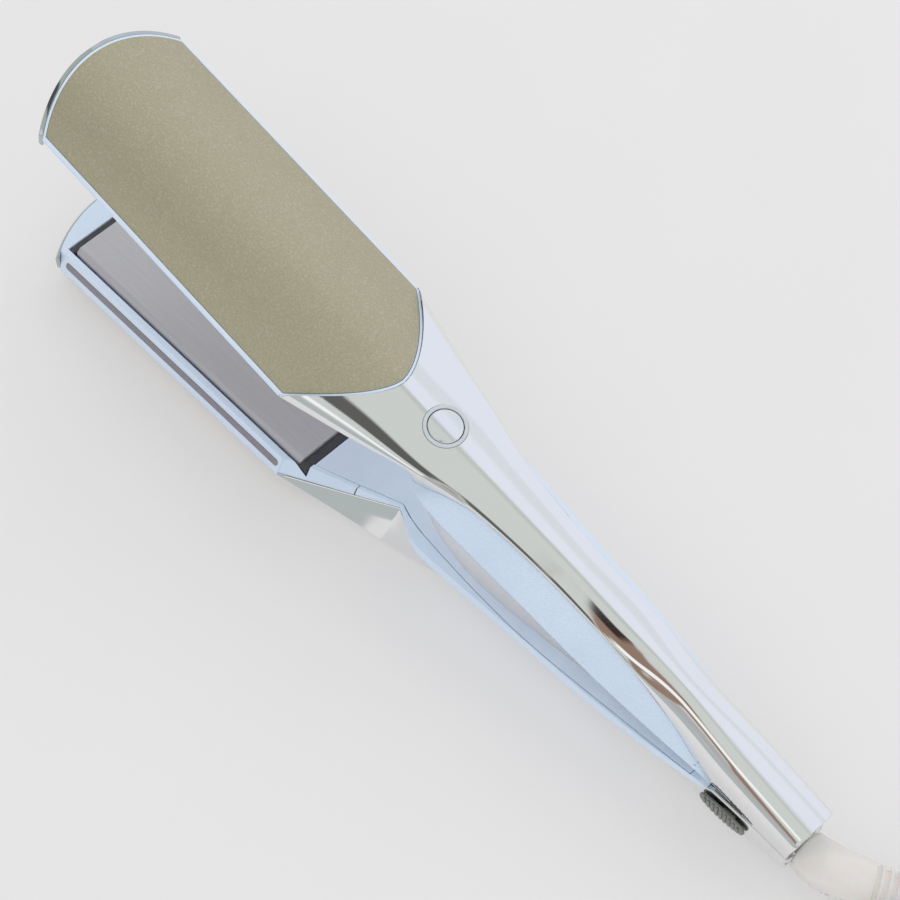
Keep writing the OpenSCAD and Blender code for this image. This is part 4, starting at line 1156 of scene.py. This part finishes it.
softened("hinge_pin", "pin", 0.25, 2, 40, steel)
SPRING_R, SPRING_WIRE, SPRING_TURNS, SPRING_HALF = 2.42, 0.34, 6, 1.95


def wound(radius, turns, steps):
    """Two places across and one along from 0 to 1 for each point of a wound wire."""
    return [
        (radius * math.cos(2 * math.pi * turns * s), radius * math.sin(2 * math.pi * turns * s), s)
        for s in np.linspace(0, 1, turns * steps + 1)
    ]


def wire(name, places, radius, body, node, material, sides=10):
    """Round wire along a line of places."""
    spots = np.asarray(places, float)
    points, up = [], (0, 0, 1)
    for i, spot in enumerate(spots):
        ahead = spots[min(i + 1, len(spots) - 1)] - spots[max(i - 1, 0)]
        ahead /= np.linalg.norm(ahead)
        across = np.cross(ahead, up)
        across /= np.linalg.norm(across)
        up = np.cross(across, ahead)
        for k in range(sides):
            a = 2 * math.pi * k / sides
            points.append(spot + radius * MM * (math.cos(a) * across + math.sin(a) * up))
    piece = new_piece(name, points, tube_faces(len(spots), sides), material)
    outwards(piece)
    shaded(piece, 40)
    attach(piece, body)
    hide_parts(node)
    return piece


spring_points = [
    (HINGE_X + x, SPRING_HALF * (2 * s - 1), z)
    for x, z, s in wound(SPRING_R, SPRING_TURNS, 32)
]
wire(
    "opening_spring", on_lower(spring_points), SPRING_WIRE, "lower_arm", "hinge_spring",
    steel,
)

# Power button
# A bright disc flush with the spine in a pale ring. It presses a small switch on the control
# board, and a weak spring lifts it again.
button_chrome = surface(
    "button_chrome", (0.84, 0.86, 0.87), (0.87, 0.885, 0.89), 6, (0.05, 0.1), Metallic=1.0,
)
ring_plastic = surface(
    "ring_plastic", linear(208, 216, 222), linear(214, 222, 228), 3, (0.18, 0.26), 0.003, 0.2,
    Transmission_Weight=0.15, IOR=1.45,
)
softened("power_button", "power_disc", 0.25, 4, 40, button_chrome)
softened("button_ring", "power_ring", 0.15, 3, 40, ring_plastic)

# Inner face of the upper arm
# A dark, glossy display window and two pale plastic keys for the temperature sit in the lid's
# recess. The window is let into the lid, and each key slides in its own opening.
window_glass = surface(
    "window_glass", linear(34, 40, 52), linear(40, 47, 60), 8, (0.08, 0.14), 0.002, 0.3,
    Coat_Weight=0.6, Coat_Roughness=0.05,
)
key_plastic = surface(
    "key_plastic", linear(219, 225, 232), linear(226, 231, 238), 4, (0.25, 0.35), 0.004, 0.2,
)
softened("display_window", "window", 0.2, 3, 40, window_glass)
for name in ("temp_up_button", "temp_down_button"):
    softened(name, name.replace("button", "key"), 0.2, 3, 40, key_plastic)

# Soft cushions
# Dark foam strips carry the heated plates. Their middle lies a little deeper than the
# ends, so that the heater stays clear of it.
PLATE_FLOAT, CUSHION_LOW, CUSHION_MID, CUSHION_TOP, CUSHION_SINK = 0.6, 1.35, 6.85, 9.05, 0.22
for arm, placed in ARMS:
    foam = softened(f"{arm}_cushion", f"{arm}_foam", 0.35, 3, 40, dark_rubber)
    fixed, free = placed([(215, 0, CUSHION_TOP)])[0], placed([(215, 0, CUSHION_LOW)])[0]
    deeper = Vector(fixed - free).normalized()
    for corner in foam.data.vertices:
        height = CUSHION_TOP + (corner.co - Vector(fixed)).dot(deeper) / MM
        if abs(height - CUSHION_MID) < 0.5:
            corner.co += deeper * CUSHION_SINK * MM
    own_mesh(foam)

# Electronics
# A control board with its switch lies in the upper arm and a power board in the lower one.
# Thin insulated leads run to the heaters and to the cord's collar.
TRACE_PITCH = 4
lacquer = surface(
    "board_lacquer", linear(44, 108, 78), linear(54, 122, 88), 3, (0.3, 0.42), 0.006, 0.2,
)
lacquer_tree = lacquer.node_tree
traces = added_node(lacquer_tree, "ShaderNodeTexBrick", {
    "Scale": 1 / (TRACE_PITCH * MM), "Mortar Size": 0.05, "Mortar Smooth": 0.2,
    "Vector": added_node(lacquer_tree, "ShaderNodeTexCoord", {}).outputs["Object"],
}, offset=0.37)
over_base(lacquer, traces.outputs["Fac"], linear(120, 148, 96))
lead_cover = surface(
    "lead_insulation", linear(186, 180, 166), linear(198, 192, 178), 1.5, (0.45, 0.6), 0.006,
)
switch_plastic = surface(
    "switch_plastic", linear(40, 41, 45), linear(50, 51, 55), 1.5, (0.35, 0.5), 0.008, 0.25,
)
for node, name in (("control_board", "control_pcb"), ("power_board", "power_pcb")):
    softened(node, name, 0.1, 2, 40, lacquer)
softened("power_switch", "press_switch", 0.15, 2, 40, switch_plastic)
for name in ("lower_heater_leads", "upper_heater_leads", "supply_leads"):
    softened(name, name.replace("leads", "wires"), 0.1, 2, 40, lead_cover)
SWITCH_TOP, DISC_LOW = 10.6, CROWN_H - 2.2
LIFT_R, LIFT_WIRE, LIFT_TURNS = 2.1, 0.2, 3
lift_points = [
    (BUTTON_X + x, y, SWITCH_TOP + 0.3 + s * (DISC_LOW - SWITCH_TOP - 0.6))
    for x, y, s in wound(LIFT_R, LIFT_TURNS, 28)
]
lift_spring = wire(
    "lift_spring", on_upper(lift_points), LIFT_WIRE, "upper_arm", "button_spring", steel
)
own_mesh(lift_spring)
